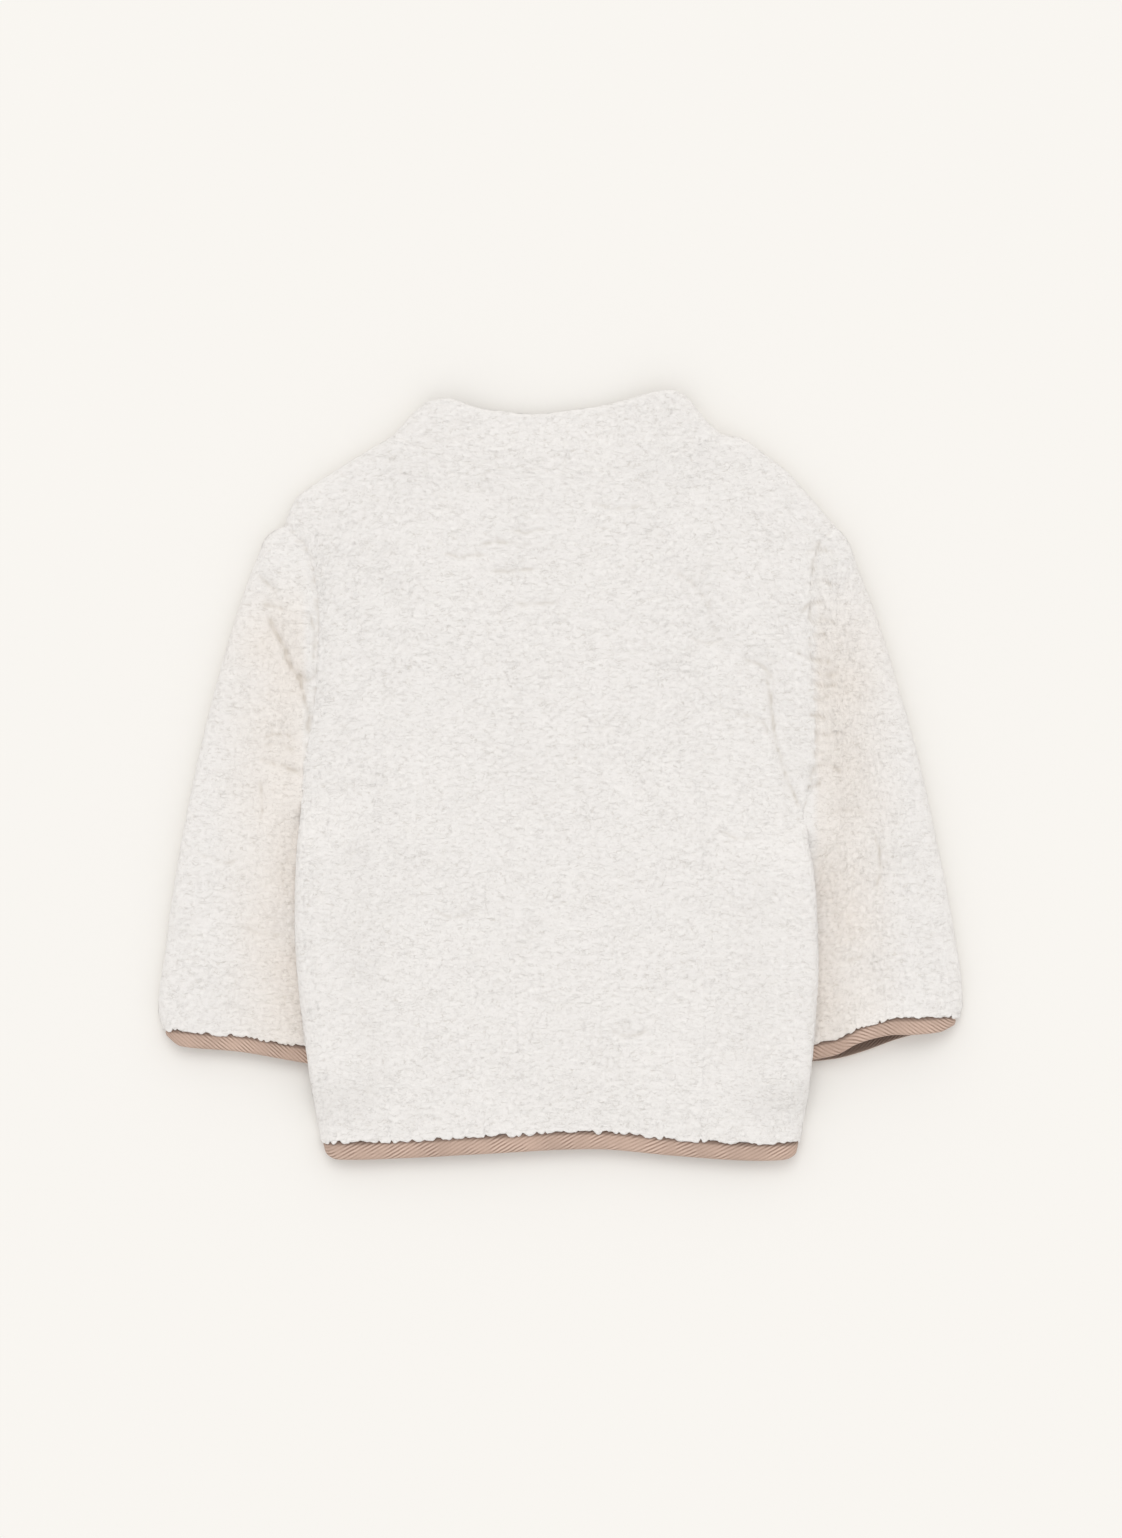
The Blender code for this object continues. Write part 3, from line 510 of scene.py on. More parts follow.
def chain(lines, outside, underarm=None):
    """A folded edge: points close together along it, the direction out of the cloth, the reach of
    the curve over the fold, which is tighter where body and sleeve press together, and how far it
    turns, which is less at the underarm, where four seams meet."""
    run = np.concatenate([through(spots, np.linspace(0, 1, CHAIN_POINTS)) for spots in lines])
    keep = np.concatenate([[True], np.linalg.norm(np.diff(run, axis=0), axis=1) > 1e-6])
    run = run[keep]
    tangent = np.gradient(run, axis=0)
    tangent /= np.linalg.norm(tangent, axis=1)[:, None]
    out = np.stack([-tangent[:, 1], tangent[:, 0]], axis=1)
    turned = np.sign(((run - np.array(outside)) * out).sum(1))[:, None]
    reach, turn = np.full(len(run), FOLD_REACH), np.ones(len(run))
    if underarm is not None:
        below = underarm - run[:, 1]
        squeezed = 1 - smoothstep((below - SQUEEZE_START) / SQUEEZE_FALL)
        reach += (SQUEEZED_REACH - FOLD_REACH) * squeezed
        turn = UNDERARM_TURN + (1 - UNDERARM_TURN) * smoothstep(below / UNDERARM_FADE)
    return run, out * turned, reach, turn


def past(spots, reach):
    """The spots with one more, so that the line runs on past its last spot."""
    last, before = np.array(spots[-1], float), np.array(spots[-2], float)
    return [*spots, Spot(*(last + (last - before) / np.linalg.norm(last - before) * reach))]


def fold_factor(plan, chains):
    """How far the cloth has turned over at each place, and the level direction to that edge."""
    flat = plan.reshape(-1, 2)
    best = np.full(len(flat), np.inf)
    most = np.ones(len(flat))
    toward = np.zeros_like(flat)
    for run, out, reach, turn in chains:
        start, step = run[:-1], np.diff(run, axis=0)
        square = (step**2).sum(1)
        for first in range(0, len(flat), PLACES_AT_ONCE):
            part = slice(first, first + PLACES_AT_ONCE)
            apart = flat[part, None, :] - start[None]
            share = np.clip((apart * step).sum(2) / square, 0, 1)
            gap = apart - share[..., None] * step
            far = (gap**2).sum(2)
            nearest = far.argmin(1)
            rows = np.arange(len(nearest))
            distance = np.sqrt(far[rows, nearest])
            direction = -gap[rows, nearest] / np.maximum(distance, 1e-9)[:, None]
            direction = np.where((distance < 0.5)[:, None], out[nearest], direction)
            distance = distance / reach[nearest]
            closer = distance < best[part]
            toward[part] = np.where(closer[:, None], direction, toward[part])
            most[part] = np.where(closer, turn[nearest], most[part])
            best[part] = np.where(closer, distance, best[part])
    factor = np.clip(1 - best, 0, 1) * most
    return factor.reshape(plan.shape[:-1]), toward.reshape(plan.shape)


def ridge(plan, fold):
    """Height of one ridge or trough over the plan."""
    start, end = np.array([fold.x0, fold.y0]), np.array([fold.x1, fold.y1])
    run = end - start
    share = np.clip(((plan - start) @ run) / (run @ run), 0, 1)
    far = np.linalg.norm(plan - start - share[..., None] * run, axis=-1)
    return fold.height * np.exp(-((far / fold.width) ** 2))


def on_floor(plan):
    """Places in the plan as points of height zero."""
    return np.concatenate([plan, np.zeros_like(plan[..., :1])], axis=-1)


def crease_depth(plan, width=None):
    """Depth of the small creases over the plan, or their depth as lines of another width."""
    plan = plan + CREASE_SWAY * noise_vector(on_floor(plan), 5.0, 12)[..., :2]
    total = np.zeros(plan.shape[:-1])
    for crease in CREASES:
        wide = width or crease.width
        spots = np.array(crease.spots, float)
        low, high = spots.min(0) - CREASE_REACH * wide, spots.max(0) + CREASE_REACH * wide
        near = ((plan > low) & (plan < high)).all(-1)
        if not near.any():
            continue
        length = np.linalg.norm(np.diff(spots, axis=0), axis=1).sum()
        count = int(length / CREASE_STEP) + 2
        run = through(spots, np.linspace(0, 1, count))
        gaps = np.linalg.norm(plan[near][:, None] - run, axis=2)
        along = (gaps.argmin(1) + 0.5) / count
        fade = np.clip(CREASE_FADE * np.sin(np.pi * along), 0, 1)
        total[near] += crease.depth * fade * np.exp(-((gaps.min(1) / wide) ** 2))
    return total


def loose_stack(plan):
    """Height of the two layers over the plan, before the body presses on a sleeve."""
    x, y = plan[..., 0], plan[..., 1]
    swell = 0.5 * np.sin(x / 31 + 0.6) * np.cos(y / 43) + 0.35 * np.sin((x + y) / 22)
    level = on_floor(plan)
    swell = swell + 0.45 * soft_noise(level, 23, 5) + 0.2 * soft_noise(level, 11, 6)
    sway = np.stack([soft_noise(level, 16, 7), soft_noise(level, 16, 8)], axis=-1)
    bent = plan + FOLD_SWAY * sway
    stack = LOOSE_STACK + swell + sum(ridge(bent, fold) for fold in MAIN_FOLDS)
    stack = LEAST_STACK + np.logaddexp(0, (stack - LEAST_STACK) * 2) / 2
    stack = stack - crease_depth(plan)
    rise = smoothstep((y - COLLAR_START) / COLLAR_RISE)
    collar = rise * smoothstep((COLLAR_HALF - np.abs(x)) / COLLAR_ENDS)
    stack = stack + (COLLAR_STACK - stack) * collar
    return stack + ridge(plan, CUFF_MOUTH) + ridge(plan, COLLAR_SAG)


def under_creases(plan):
    """How far the lower layer's creases stand off the floor: the upper ones, left for right."""
    other = plan * (-1.0, 1.0)
    soft = sum(ridge(other, fold) for fold in MAIN_FOLDS if fold.height < 0)
    return UNDER_CREASES * crease_depth(other) - UNDER_FOLDS * soft


def side_gap(plan, side_line):
    """Distance inside the body's side fold, negative outside it."""
    run = through(side_line, np.linspace(0, 1, 60))
    edge = np.interp(plan[..., 1], run[:, 1], run[:, 0])
    return (plan[..., 0] - edge) * -np.sign(edge)


def tuck_height(plan, side_line):
    """How high the sleeve that is tucked under it lifts the body's side."""
    y = plan[..., 1]
    below_underarm = smoothstep((side_line[-1].y - y) / LIFT_START)
    above_cuff = 1 - smoothstep((LIFT_END - y) / LIFT_FALL)
    near_side = smoothstep((LIFT_EDGE + LIFT_SLOPE - side_gap(plan, side_line)) / LIFT_SLOPE)
    return TUCK_LIFT * below_underarm * above_cuff * near_side


def body_lift(plan):
    return tuck_height(plan, SIDE_SEAM.left) + tuck_height(plan, SIDE_SEAM.right)


def pressed_stack(side_line):
    """A sleeve's height over the plan, thinner where the body lies on it."""

    def stack(plan):
        loose = loose_stack(plan)
        covered = smoothstep((COVER_EDGE + side_gap(plan, side_line)) / COVER_SLOPE)
        below_underarm = smoothstep((side_line[-1].y - plan[..., 1]) / COVER_START)
        return loose + (PRESSED_STACK - loose) * covered * below_underarm

    return stack


class Tube:
    """A flattened tube of cloth: plans of its two layers, its folded edges and its heights."""

    def __init__(self, upper, lower, chains, stack, lift=None, shift=(0.0, 0.0)):
        self.plans = {UPPER: upper, LOWER: lower}
        self.chains = chains
        self.stack = stack
        self.lift = lift
        self.shift = shift

    def skin(self, layer, u, v):
        """Points on the tube's outer skin, and the directions that point out of it."""
        plan = self.plans[layer].place(u, v)
        turned, toward = fold_factor(plan, self.chains)
        level = np.sqrt(1 - turned**2)
        height = self.stack(plan) / 2 * (1 + layer * level)
        if layer == LOWER:
            height = height + under_creases(plan) * level
        if self.lift is not None:
            height = height + self.lift(plan)
        points = np.concatenate([plan + self.shift, height[..., None]], axis=-1)
        normals = np.concatenate([toward * turned[..., None], (layer * level)[..., None]], axis=-1)
        return points, normals


def top_chain(side, outside):
    """The folded edge up the sleeve, over the shoulder and up the collar."""
    sleeve = past(getattr(SLEEVE_OUTER, side), 30)[::-1]
    return chain([sleeve, getattr(SHOULDER, side), past(getattr(COLLAR_SIDE, side), 14)], outside)


def side_chain(side, outside):
    spots = getattr(SIDE_SEAM, side)[::-1]
    return chain([past(spots, 20)], outside, spots[0].y)


def inner_chain(side, outside):
    spots = getattr(SLEEVE_INNER, side)
    return chain([past(spots, 20)], outside, spots[0].y)


def body_tube():
    sides = [
        joined(SIDE_SEAM.left, ARMHOLE.left, UNDERARM_SHARE),
        joined(SIDE_SEAM.right, ARMHOLE.right, UNDERARM_SHARE),
    ]
    chains = [top_chain(side, BODY_MIDDLE) for side in Sides._fields]
    chains += [side_chain(side, BODY_MIDDLE) for side in Sides._fields]
    return Tube(
        Patch(line(HEM_BACK), body_top(NECK_BACK), *sides),
        Patch(line(HEM_FRONT), body_top(NECK_FRONT), *sides),
        chains, loose_stack, body_lift,
    )


def sleeve_tube(side):
    armhole = getattr(ARMHOLE, side)[::-1]
    edges = [line(getattr(SLEEVE_OUTER, side)), line(getattr(SLEEVE_INNER, side))]
    middle = getattr(SLEEVE_MIDDLE, side)
    bulge = SLEEVE_BULGE * np.sign(middle[0])
    return Tube(
        Patch(line(armhole), line(getattr(CUFF_UPPER, side)), *edges, bulge),
        Patch(line(armhole), line(getattr(CUFF_LOWER, side)), *edges, bulge),
        [top_chain(side, middle), inner_chain(side, middle)],
        pressed_stack(getattr(SIDE_SEAM, side)),
        shift=(ARMHOLE_SHIFT.x * (-1 if side == "left" else 1), ARMHOLE_SHIFT.y),
    )


def collar_tube():
    sides = [line(COLLAR_SIDE.left), line(COLLAR_SIDE.right)]
    chains = [top_chain(side, BODY_MIDDLE) for side in Sides._fields]
    return Tube(
        Patch(line(NECK_BACK), line(COLLAR_TOP_BACK), *sides),
        Patch(line(NECK_FRONT), line(COLLAR_TOP_FRONT), *sides),
        chains, loose_stack, shift=COLLAR_SHIFT,
    )


# The pile
def scatter(ix, iy, iz, seed):
    """A fixed number from 0 to 1 for each place on a lattice."""
    mixed = ix.astype(np.int64) * 374761393 + iy.astype(np.int64) * 668265263
    mixed = (mixed + iz.astype(np.int64) * 2147483647 + seed * 974711) & 0xFFFFFFFF
    mixed = ((mixed ^ (mixed >> 13)) * 1274126177) & 0xFFFFFFFF
    mixed = ((mixed ^ (mixed >> 15)) * 2246822519) & 0xFFFFFFFF
    return ((mixed ^ (mixed >> 16)) & 0xFFFFFF) / 0xFFFFFF


def soft_noise(points, size, seed):
    """Smooth noise from -1 to 1 with lumps of this size."""
    place = points / size + 61.7
    low = np.floor(place).astype(np.int64)
    part = smoothstep(place - low)
    total = 0.0
    for dx in (0, 1):
        for dy in (0, 1):
            for dz in (0, 1):
                weight = (
                    (part[..., 0] if dx else 1 - part[..., 0])
                    * (part[..., 1] if dy else 1 - part[..., 1])
                    * (part[..., 2] if dz else 1 - part[..., 2])
                )
                total = total + weight * scatter(
                    low[..., 0] + dx, low[..., 1] + dy, low[..., 2] + dz, seed
                )
    return total * 2 - 1


def cells(points, size, seed):
    """Distances to the nearest and the next of points strewn one to a cell, in cells."""
    place = points / size + 83.3
    low = np.floor(place).astype(np.int64)
    near = np.full(place.shape[:-1], 9.0)
    after = near.copy()
    for dx in (-1, 0, 1):
        for dy in (-1, 0, 1):
            for dz in (-1, 0, 1):
                ix, iy, iz = low[..., 0] + dx, low[..., 1] + dy, low[..., 2] + dz
                far = (
                    (ix + scatter(ix, iy, iz, seed) - place[..., 0]) ** 2
                    + (iy + scatter(ix, iy, iz, seed + 1) - place[..., 1]) ** 2
                    + (iz + scatter(ix, iy, iz, seed + 2) - place[..., 2]) ** 2
                )
                after = np.minimum(after, np.maximum(near, far))
                near = np.minimum(near, far)
    return np.sqrt(near), np.sqrt(after)


def noise_vector(points, size, seed):
    return np.stack([soft_noise(points, size, seed + axis) for axis in range(3)], axis=-1)


def pile(points, curl):
    """How high the pile stands at each place, from 0 at the ground to 1 at the tips."""
    squat = points * SQUAT
    swirled = squat + 0.32 * curl * noise_vector(points, curl * 0.95, 20)
    near, after = cells(swirled, curl, 40)
    broken = smoothstep(0.5 + 0.8 * soft_noise(points, curl * 2.3, 60))
    parting = (1 - smoothstep((after - near) / 0.38)) * (0.35 + 0.65 * broken)
    hollow = np.clip(near / 0.9, 0, 1) ** 2
    finer = swirled + 0.22 * curl * noise_vector(points, curl * 0.45, 30)
    near, after = cells(finer, curl * 0.55, 50)
    small = (1 - smoothstep((after - near) / 0.42)) * (0.4 + 0.6 * (1 - broken))
    sunk = PARTING_SHARE * parting + HOLLOW_SHARE * hollow + SMALL_SHARE * small
    sunk = sunk + GRAIN_SHARE * (1 + soft_noise(points, curl * 0.35, 70))
    return np.clip(PILE_TOP - sunk, 0, 1)


# Meshes
def grid_quads(rows, columns, offset, loop):
    row, column = np.meshgrid(
        np.arange(rows - 1), np.arange(columns if loop else columns - 1), indexing="ij"
    )
    after = (column + 1) % columns
    quads = np.stack([
        row * columns + column, row * columns + after,
        (row + 1) * columns + after, (row + 1) * columns + column,
    ], axis=-1)
    return quads.reshape(-1, 4) + offset


def zip_rims(first, first_at, second, second_at, closed):
    """Triangles between two runs of points, advanced by their places from 0 to 1."""
    if closed:
        first, first_at = np.append(first, first[0]), np.append(first_at, 1.0)
        second, second_at = np.append(second, second[0]), np.append(second_at, 1.0)
    triangles, i, j = [], 0, 0
    while i < len(first) - 1 or j < len(second) - 1:
        take_first = j == len(second) - 1 or (
            i < len(first) - 1 and first_at[i + 1] <= second_at[j + 1]
        )
        if take_first:
            triangles.append((first[i], second[j], first[i + 1]))
            i += 1
        else:
            triangles.append((first[i], second[j], second[j + 1]))
            j += 1
    return triangles


def rim(ids, u, v):
    """The points round a grid with their places from 0 to 1."""
    runs = ((ids[0], u), (ids[:, -1], v), (ids[-1, ::-1], (1 - u)[::-1]), (ids[::-1, 0], (1 - v)[::-1]))
    around = np.concatenate([run[:-1] for run, _ in runs])
    places = np.concatenate([(side + at[:-1]) / 4 for side, (_, at) in enumerate(runs)])
    return around, places


def build_mesh(name, points, quads, triangles, material, values, hard=()):
    """A mesh object from arrays, with its faces turned outwards, its point values, and its edges
    sharp between the points called hard."""
    triangles = np.array(triangles, int).reshape(-1, 3)
    halves = np.concatenate([quads[:, [0, 1, 2]], quads[:, [0, 2, 3]], triangles])
    a, b, c = (points[halves[:, corner]] for corner in range(3))
    if np.einsum("ij,ij->i", a, np.cross(b, c)).sum() < 0:
        quads, triangles = quads[:, ::-1], triangles[:, ::-1]
    mesh = bpy.data.meshes.new(name)
    mesh.vertices.add(len(points))
    mesh.vertices.foreach_set("co", (points * MM).ravel())
    corners = np.concatenate([quads.ravel(), triangles.ravel()])
    mesh.loops.add(len(corners))
    mesh.loops.foreach_set("vertex_index", corners)
    mesh.polygons.add(len(quads) + len(triangles))
    starts = np.concatenate([
        np.arange(len(quads)) * 4, len(quads) * 4 + np.arange(len(triangles)) * 3
    ])
    mesh.polygons.foreach_set("loop_start", starts)
    mesh.update(calc_edges=True)
    mesh.validate()
    for label, numbers in values.items():
        layer = mesh.attributes.new(label, "FLOAT", "POINT")
        layer.data.foreach_set("value", np.asarray(numbers, np.float32))
    mesh.shade_smooth()
    if len(hard):
        ends = np.empty(len(mesh.edges) * 2, np.int32)
        mesh.edges.foreach_get("vertices", ends)
        sharp = mesh.attributes.new("sharp_edge", "BOOLEAN", "EDGE")
        sharp.data.foreach_set("value", np.isin(ends, hard).reshape(-1, 2).all(axis=1))
    piece = bpy.data.objects.new(name, mesh)
    bpy.context.scene.collection.objects.link(piece)
    mesh.materials.append(material)
    return piece


def shell(name, outer, inner, material, values, loop):
    """A closed shell from a fine outer grid and a coarse inner one, each with its shares u and v."""
    (face, u, v), (back, back_u, back_v) = outer, inner
    rows, columns = face.shape[:2]
    back_rows, back_columns = back.shape[:2]
    ids = np.arange(rows * columns).reshape(rows, columns)
    back_ids = np.arange(back_rows * back_columns).reshape(back_rows, back_columns) + rows * columns
    quads = grid_quads(rows, columns, 0, loop)
    back_quads = grid_quads(back_rows, back_columns, rows * columns, loop)[:, ::-1]
    triangles = []
    if loop:
        for end, flip in ((0, 1), (-1, -1)):
            made = zip_rims(ids[end], u, back_ids[end], back_u, True)
            triangles += [triangle[::flip] for triangle in made]
    else:
        triangles = zip_rims(*rim(ids, u, v), *rim(back_ids, back_u, back_v), True)
    points = np.concatenate([face.reshape(-1, 3), back.reshape(-1, 3)])
    spare = np.zeros(back_rows * back_columns)
    values = {label: np.concatenate([np.ravel(numbers), spare]) for label, numbers in values.items()}
    hard = ids[[0, -1]].ravel() if loop else rim(ids, u, v)[0]
    quads = np.concatenate([quads, back_quads])
    return build_mesh(name, points, quads, triangles, material, values, hard)


def curve_steps(count):
    """Distances from a folded edge that follow the curve round it."""
    return FOLD_REACH * (1 - np.cos(np.linspace(0, np.pi / 2, count)))


def edge_to_edge(width, step, curve):
    """Distances across a width, close together on the curves at both its edges."""
    steps = curve_steps(curve)
    count = max(2, int(round((width - 2 * FOLD_REACH) / step)))
    middle = np.linspace(FOLD_REACH, width - FOLD_REACH, count + 1)[1:-1]
    return np.concatenate([steps, middle, width - steps[::-1]])


def fleece_settings():
    return bpy.context.scene.jacket_fleece


def tape_settings():
    return bpy.context.scene.jacket_tape


def pile_face(points, normals, seam, edge, pressed):
    """The fleece's shown face: the skin drawn in between the clumps, at seams and at the tape, with
    painted shade in its creases and along its seams.
    """
    fleece = fleece_settings()
    curl, depth = fleece.curl / MM, fleece.depth / MM
    level = np.abs(normals[..., 2])
    height = pile(points, curl)
    amount = depth * (1 - height) * pressed * (SIDE_PILE + (1 - SIDE_PILE) * level)
    drawn = fleece.seam_depth / MM * np.clip(1 - seam / SEAM_REACH, 0, 1) ** 2
    moved = points - normals * (amount + drawn + edge)[..., None]
    sideways = 0.30 * noise_vector(points, curl * 0.6, 90) * (1 - np.abs(normals) * 0.6)
    sideways[..., 1] -= 0.35 * (height - 0.6) * level
    waver = WAVER * noise_vector(points, 3.4, 94) * np.clip(1 - seam / WAVER_REACH, 0, 1)[..., None]
    moved = moved + sideways * pressed[..., None] + waver * (pressed > 0)[..., None]
    # Painted shade in the creases, as dark lines drawn towards the root colour
    broken = 0.3 + 0.7 * smoothstep(0.5 + 1.3 * soft_noise(points, 2.7, 98))
    lined = CREASE_SHADE * broken * crease_depth(points[..., :2], CREASE_LINE)
    # Dark dashes along the seams: painted shade of small puckers
    dashes = smoothstep(0.25 + 1.6 * soft_noise(points * (1.0, 1.8, 1.0), 3.6, 97))
    seam_shade = SEAM_SHADE_TONE * dashes * np.clip(1 - seam / SEAM_SHADE_REACH, 0, 1)
    lined = np.clip(np.maximum(lined * (normals[..., 2] > 0), seam_shade), 0, 1)
    return moved, {"pile": height, "crease": lined}


def corner_width(to_corner):
    """The tape's width on the face, as a share: it turns under at a corner and looks narrower."""
    return 1 - CORNER_NARROWING * np.exp(-((to_corner / CORNER_REACH) ** 2))


def knobs(points, size, seed):
    """Round bumps in a row, with sharp notches between them, from 0 to 1."""
    notch = np.clip(1 - 2.1 * np.abs(soft_noise(points, size, seed)), 0, 1)
    return 1 - notch**2


def hem_rows(columns_at, share):
    """Distances from a taped edge for the face's rows next to it. The first rows lie under the
    pile's lip, which hangs over the tape's edge in round tufts."""
    width = tape_settings().width / MM * share
    longer = 0.5 + 0.5 * soft_noise(columns_at, 9.0, 103)
    lip = width + 0.8 - (0.8 + 1.8 * longer) * knobs(columns_at, 3.2, 101)
    lip = lip - 0.45 * knobs(columns_at, 1.9, 102)
    butt = width + 0.2
    return np.stack([butt, butt, lip + 0.4, lip, lip + 0.35, lip + 1.1, lip + 2.1])


def painted_side_shade(points):
    """How much painted warm shade a place has: on the sleeves, beside the body, which shades them."""
    low = smoothstep((CAST_TOP - points[..., 1]) / CAST_TOP_FADE)
    cast = 0
    for sign in (-1, 1):
        outward = points[..., 0] * sign - CAST_SIDE
        near = smoothstep(outward / CAST_RISE) * (1 - smoothstep((outward - CAST_HOLD) / CAST_FADE))
        cast = cast + near * low
    patches = 0.75 + 0.25 * soft_noise(points, 21, 111)
    return np.clip(cast * patches, 0, 1)


# Materials
def new_material(name):
    material = bpy.data.materials.new(name)
    material.use_nodes = True
    nodes, links = material.node_tree.nodes, material.node_tree.links
    return material, nodes, links, nodes["Principled BSDF"]


def add_math(nodes, links, operation, first, second, clamp=False):
    node = nodes.new("ShaderNodeMath")
    node.operation = operation
    node.use_clamp = clamp
    for socket, value in zip(node.inputs, (first, second)):
        if hasattr(value, "links"):
            links.new(value, socket)
        else:
            socket.default_value = value
    return node.outputs[0]


def add_mix(nodes, links, factor, first, second, blend="MIX"):
    node = nodes.new("ShaderNodeMix")
    node.data_type = "RGBA"
    node.blend_type = blend
    for socket, value in ((node.inputs[0], factor), (node.inputs[6], first), (node.inputs[7], second)):
        if hasattr(value, "links"):
            links.new(value, socket)
        else:
            socket.default_value = value
    return node.outputs[2]


def add_ramp(nodes, links, value, low, high, dark=0.0, light=1.0):
    node = nodes.new("ShaderNodeMapRange")
    node.interpolation_type = "SMOOTHSTEP"
    links.new(value, node.inputs["Value"])
    node.inputs["From Min"].default_value = low
    node.inputs["From Max"].default_value = high
    node.inputs["To Min"].default_value = dark
    node.inputs["To Max"].default_value = light
    return node.outputs["Result"]


def add_noise(nodes, links, place, size, detail=2.0, rough=0.5, distortion=0.0):
    node = nodes.new("ShaderNodeTexNoise")
    links.new(place, node.inputs["Vector"])
    node.inputs["Scale"].default_value = 1 / size
    node.inputs["Detail"].default_value = detail
    node.inputs["Roughness"].default_value = rough
    node.inputs["Distortion"].default_value = distortion
    return node.outputs["Fac"], node.outputs["Color"]


def add_strokes(nodes, links, place, size, thin, gap):
    """Short curved strokes: the level lines of a noise, shown where another noise is high."""
    level, _ = add_noise(nodes, links, place, size, 1.0, 0.5, 0.6)
    off = add_math(nodes, links, "ABSOLUTE", add_math(nodes, links, "SUBTRACT", level, 0.5), 0.0)
    line_at = add_ramp(nodes, links, off, 0.0, thin, 1.0, 0.0)
    aside = nodes.new("ShaderNodeMapping")
    aside.inputs["Location"].default_value = (0.31, 0.17, 0.43)
    links.new(place, aside.inputs["Vector"])
    shown = add_ramp(nodes, links, add_noise(nodes, links, aside.outputs[0], gap, 1.0)[0], 0.47, 0.62)
    return add_math(nodes, links, "MULTIPLY", line_at, shown)


def add_attribute(nodes, name):
    node = nodes.new("ShaderNodeAttribute")
    node.attribute_name = name
    return node.outputs["Fac"]


def add_warp(nodes, links, place, size, amount):
    """The place moved about by a noise, which curls what is drawn on it."""
    _, colour = add_noise(nodes, links, place, size, 1.0)
    centred = nodes.new("ShaderNodeVectorMath")
    centred.operation = "SUBTRACT"
    links.new(colour, centred.inputs[0])
    centred.inputs[1].default_value = (0.5, 0.5, 0.5)
    grown = nodes.new("ShaderNodeVectorMath")
    grown.operation = "MULTIPLY_ADD"
    links.new(centred.outputs[0], grown.inputs[0])
    grown.inputs[1].default_value = (amount,) * 3
    links.new(place, grown.inputs[2])
    return grown.outputs[0]


def fleece_material():
    """Curly white pile: soft clumps, fine partings between the curls, and loose fibres. Deep pile,
    partings, creases, seams and the sleeves beside the body get painted shade.
    """
    if "teddy_fleece" in bpy.data.materials:
        return bpy.data.materials["teddy_fleece"]
    fleece = fleece_settings()
    material, nodes, links, shader = new_material("teddy_fleece")
    place = nodes.new("ShaderNodeTexCoord").outputs["Object"]
    wide = nodes.new("ShaderNodeMapping")
    wide.inputs["Scale"].default_value = (0.68, 1.38, 1.0)
    links.new(place, wide.inputs["Vector"])
    curled = add_warp(nodes, links, wide.outputs[0], 0.0030, 0.0022)
    # Thin strokes of painted shade in the partings between the curls, also used as bumps
    long_strokes = add_strokes(nodes, links, curled, 0.0034, 0.030, 0.0031)
    short_strokes = add_strokes(nodes, links, curled, 0.0019, 0.045, 0.0017)
    patch = add_ramp(nodes, links, add_noise(nodes, links, place, 0.017, 2.0)[0], 0.35, 0.65, 0.85)
    lines = add_math(nodes, links, "MULTIPLY", short_strokes, 0.7)
    lines = add_math(nodes, links, "MAXIMUM", long_strokes, lines)
    strength = add_math(nodes, links, "MULTIPLY", patch, 0.66)
    lines = add_math(nodes, links, "MULTIPLY", lines, strength)
    fibre, _ = add_noise(nodes, links, curled, 0.0009, 3.0, 0.65, 1.5)
    # Painted shade deep in the pile: low places of the pile are drawn towards the root colour
    sunk = add_attribute(nodes, "pile")
    tall = add_ramp(nodes, links, sunk, 0.05, 0.75, 0.72)
    body = add_mix(nodes, links, tall, tuple(fleece.root), tuple(fleece.tip))
    # Painted shade in the creases and along the seams, from the crease values
    lines = add_math(nodes, links, "MAXIMUM", lines, add_attribute(nodes, "crease"))
    body = add_mix(nodes, links, lines, body, tuple(fleece.root))
    mottle = add_ramp(nodes, links, add_noise(nodes, links, place, 0.03, 3.0)[0], 0.3, 0.7, 0.99, 1.0)
    fibrous = add_ramp(nodes, links, fibre, 0.32, 0.68, 0.95)
    mottle = add_math(nodes, links, "MULTIPLY", mottle, fibrous)
    shade = nodes.new("ShaderNodeCombineColor")
    for socket in shade.inputs:
        links.new(mottle, socket)
    body = add_mix(nodes, links, 1.0, body, shade.outputs[0], "MULTIPLY")
    # Painted warm shade on the sleeves beside the body
    cast = add_attribute(nodes, "cast")
    body = add_mix(nodes, links, cast, body, tuple(fleece.blush), "MULTIPLY")
    links.new(body, shader.inputs["Base Color"])
    height = add_math(nodes, links, "SUBTRACT", fibre, lines)
    bump = nodes.new("ShaderNodeBump")
    bump.inputs["Strength"].default_value = 0.6
    bump.inputs["Distance"].default_value = 0.0007
    links.new(height, bump.inputs["Height"])
    links.new(bump.outputs["Normal"], shader.inputs["Normal"])
    shader.inputs["Roughness"].default_value = 0.95
    shader.inputs["Specular IOR Level"].default_value = 0.15
    shader.inputs["Sheen Weight"].default_value = 0.3
    shader.inputs["Sheen Roughness"].default_value = 0.5
    return material


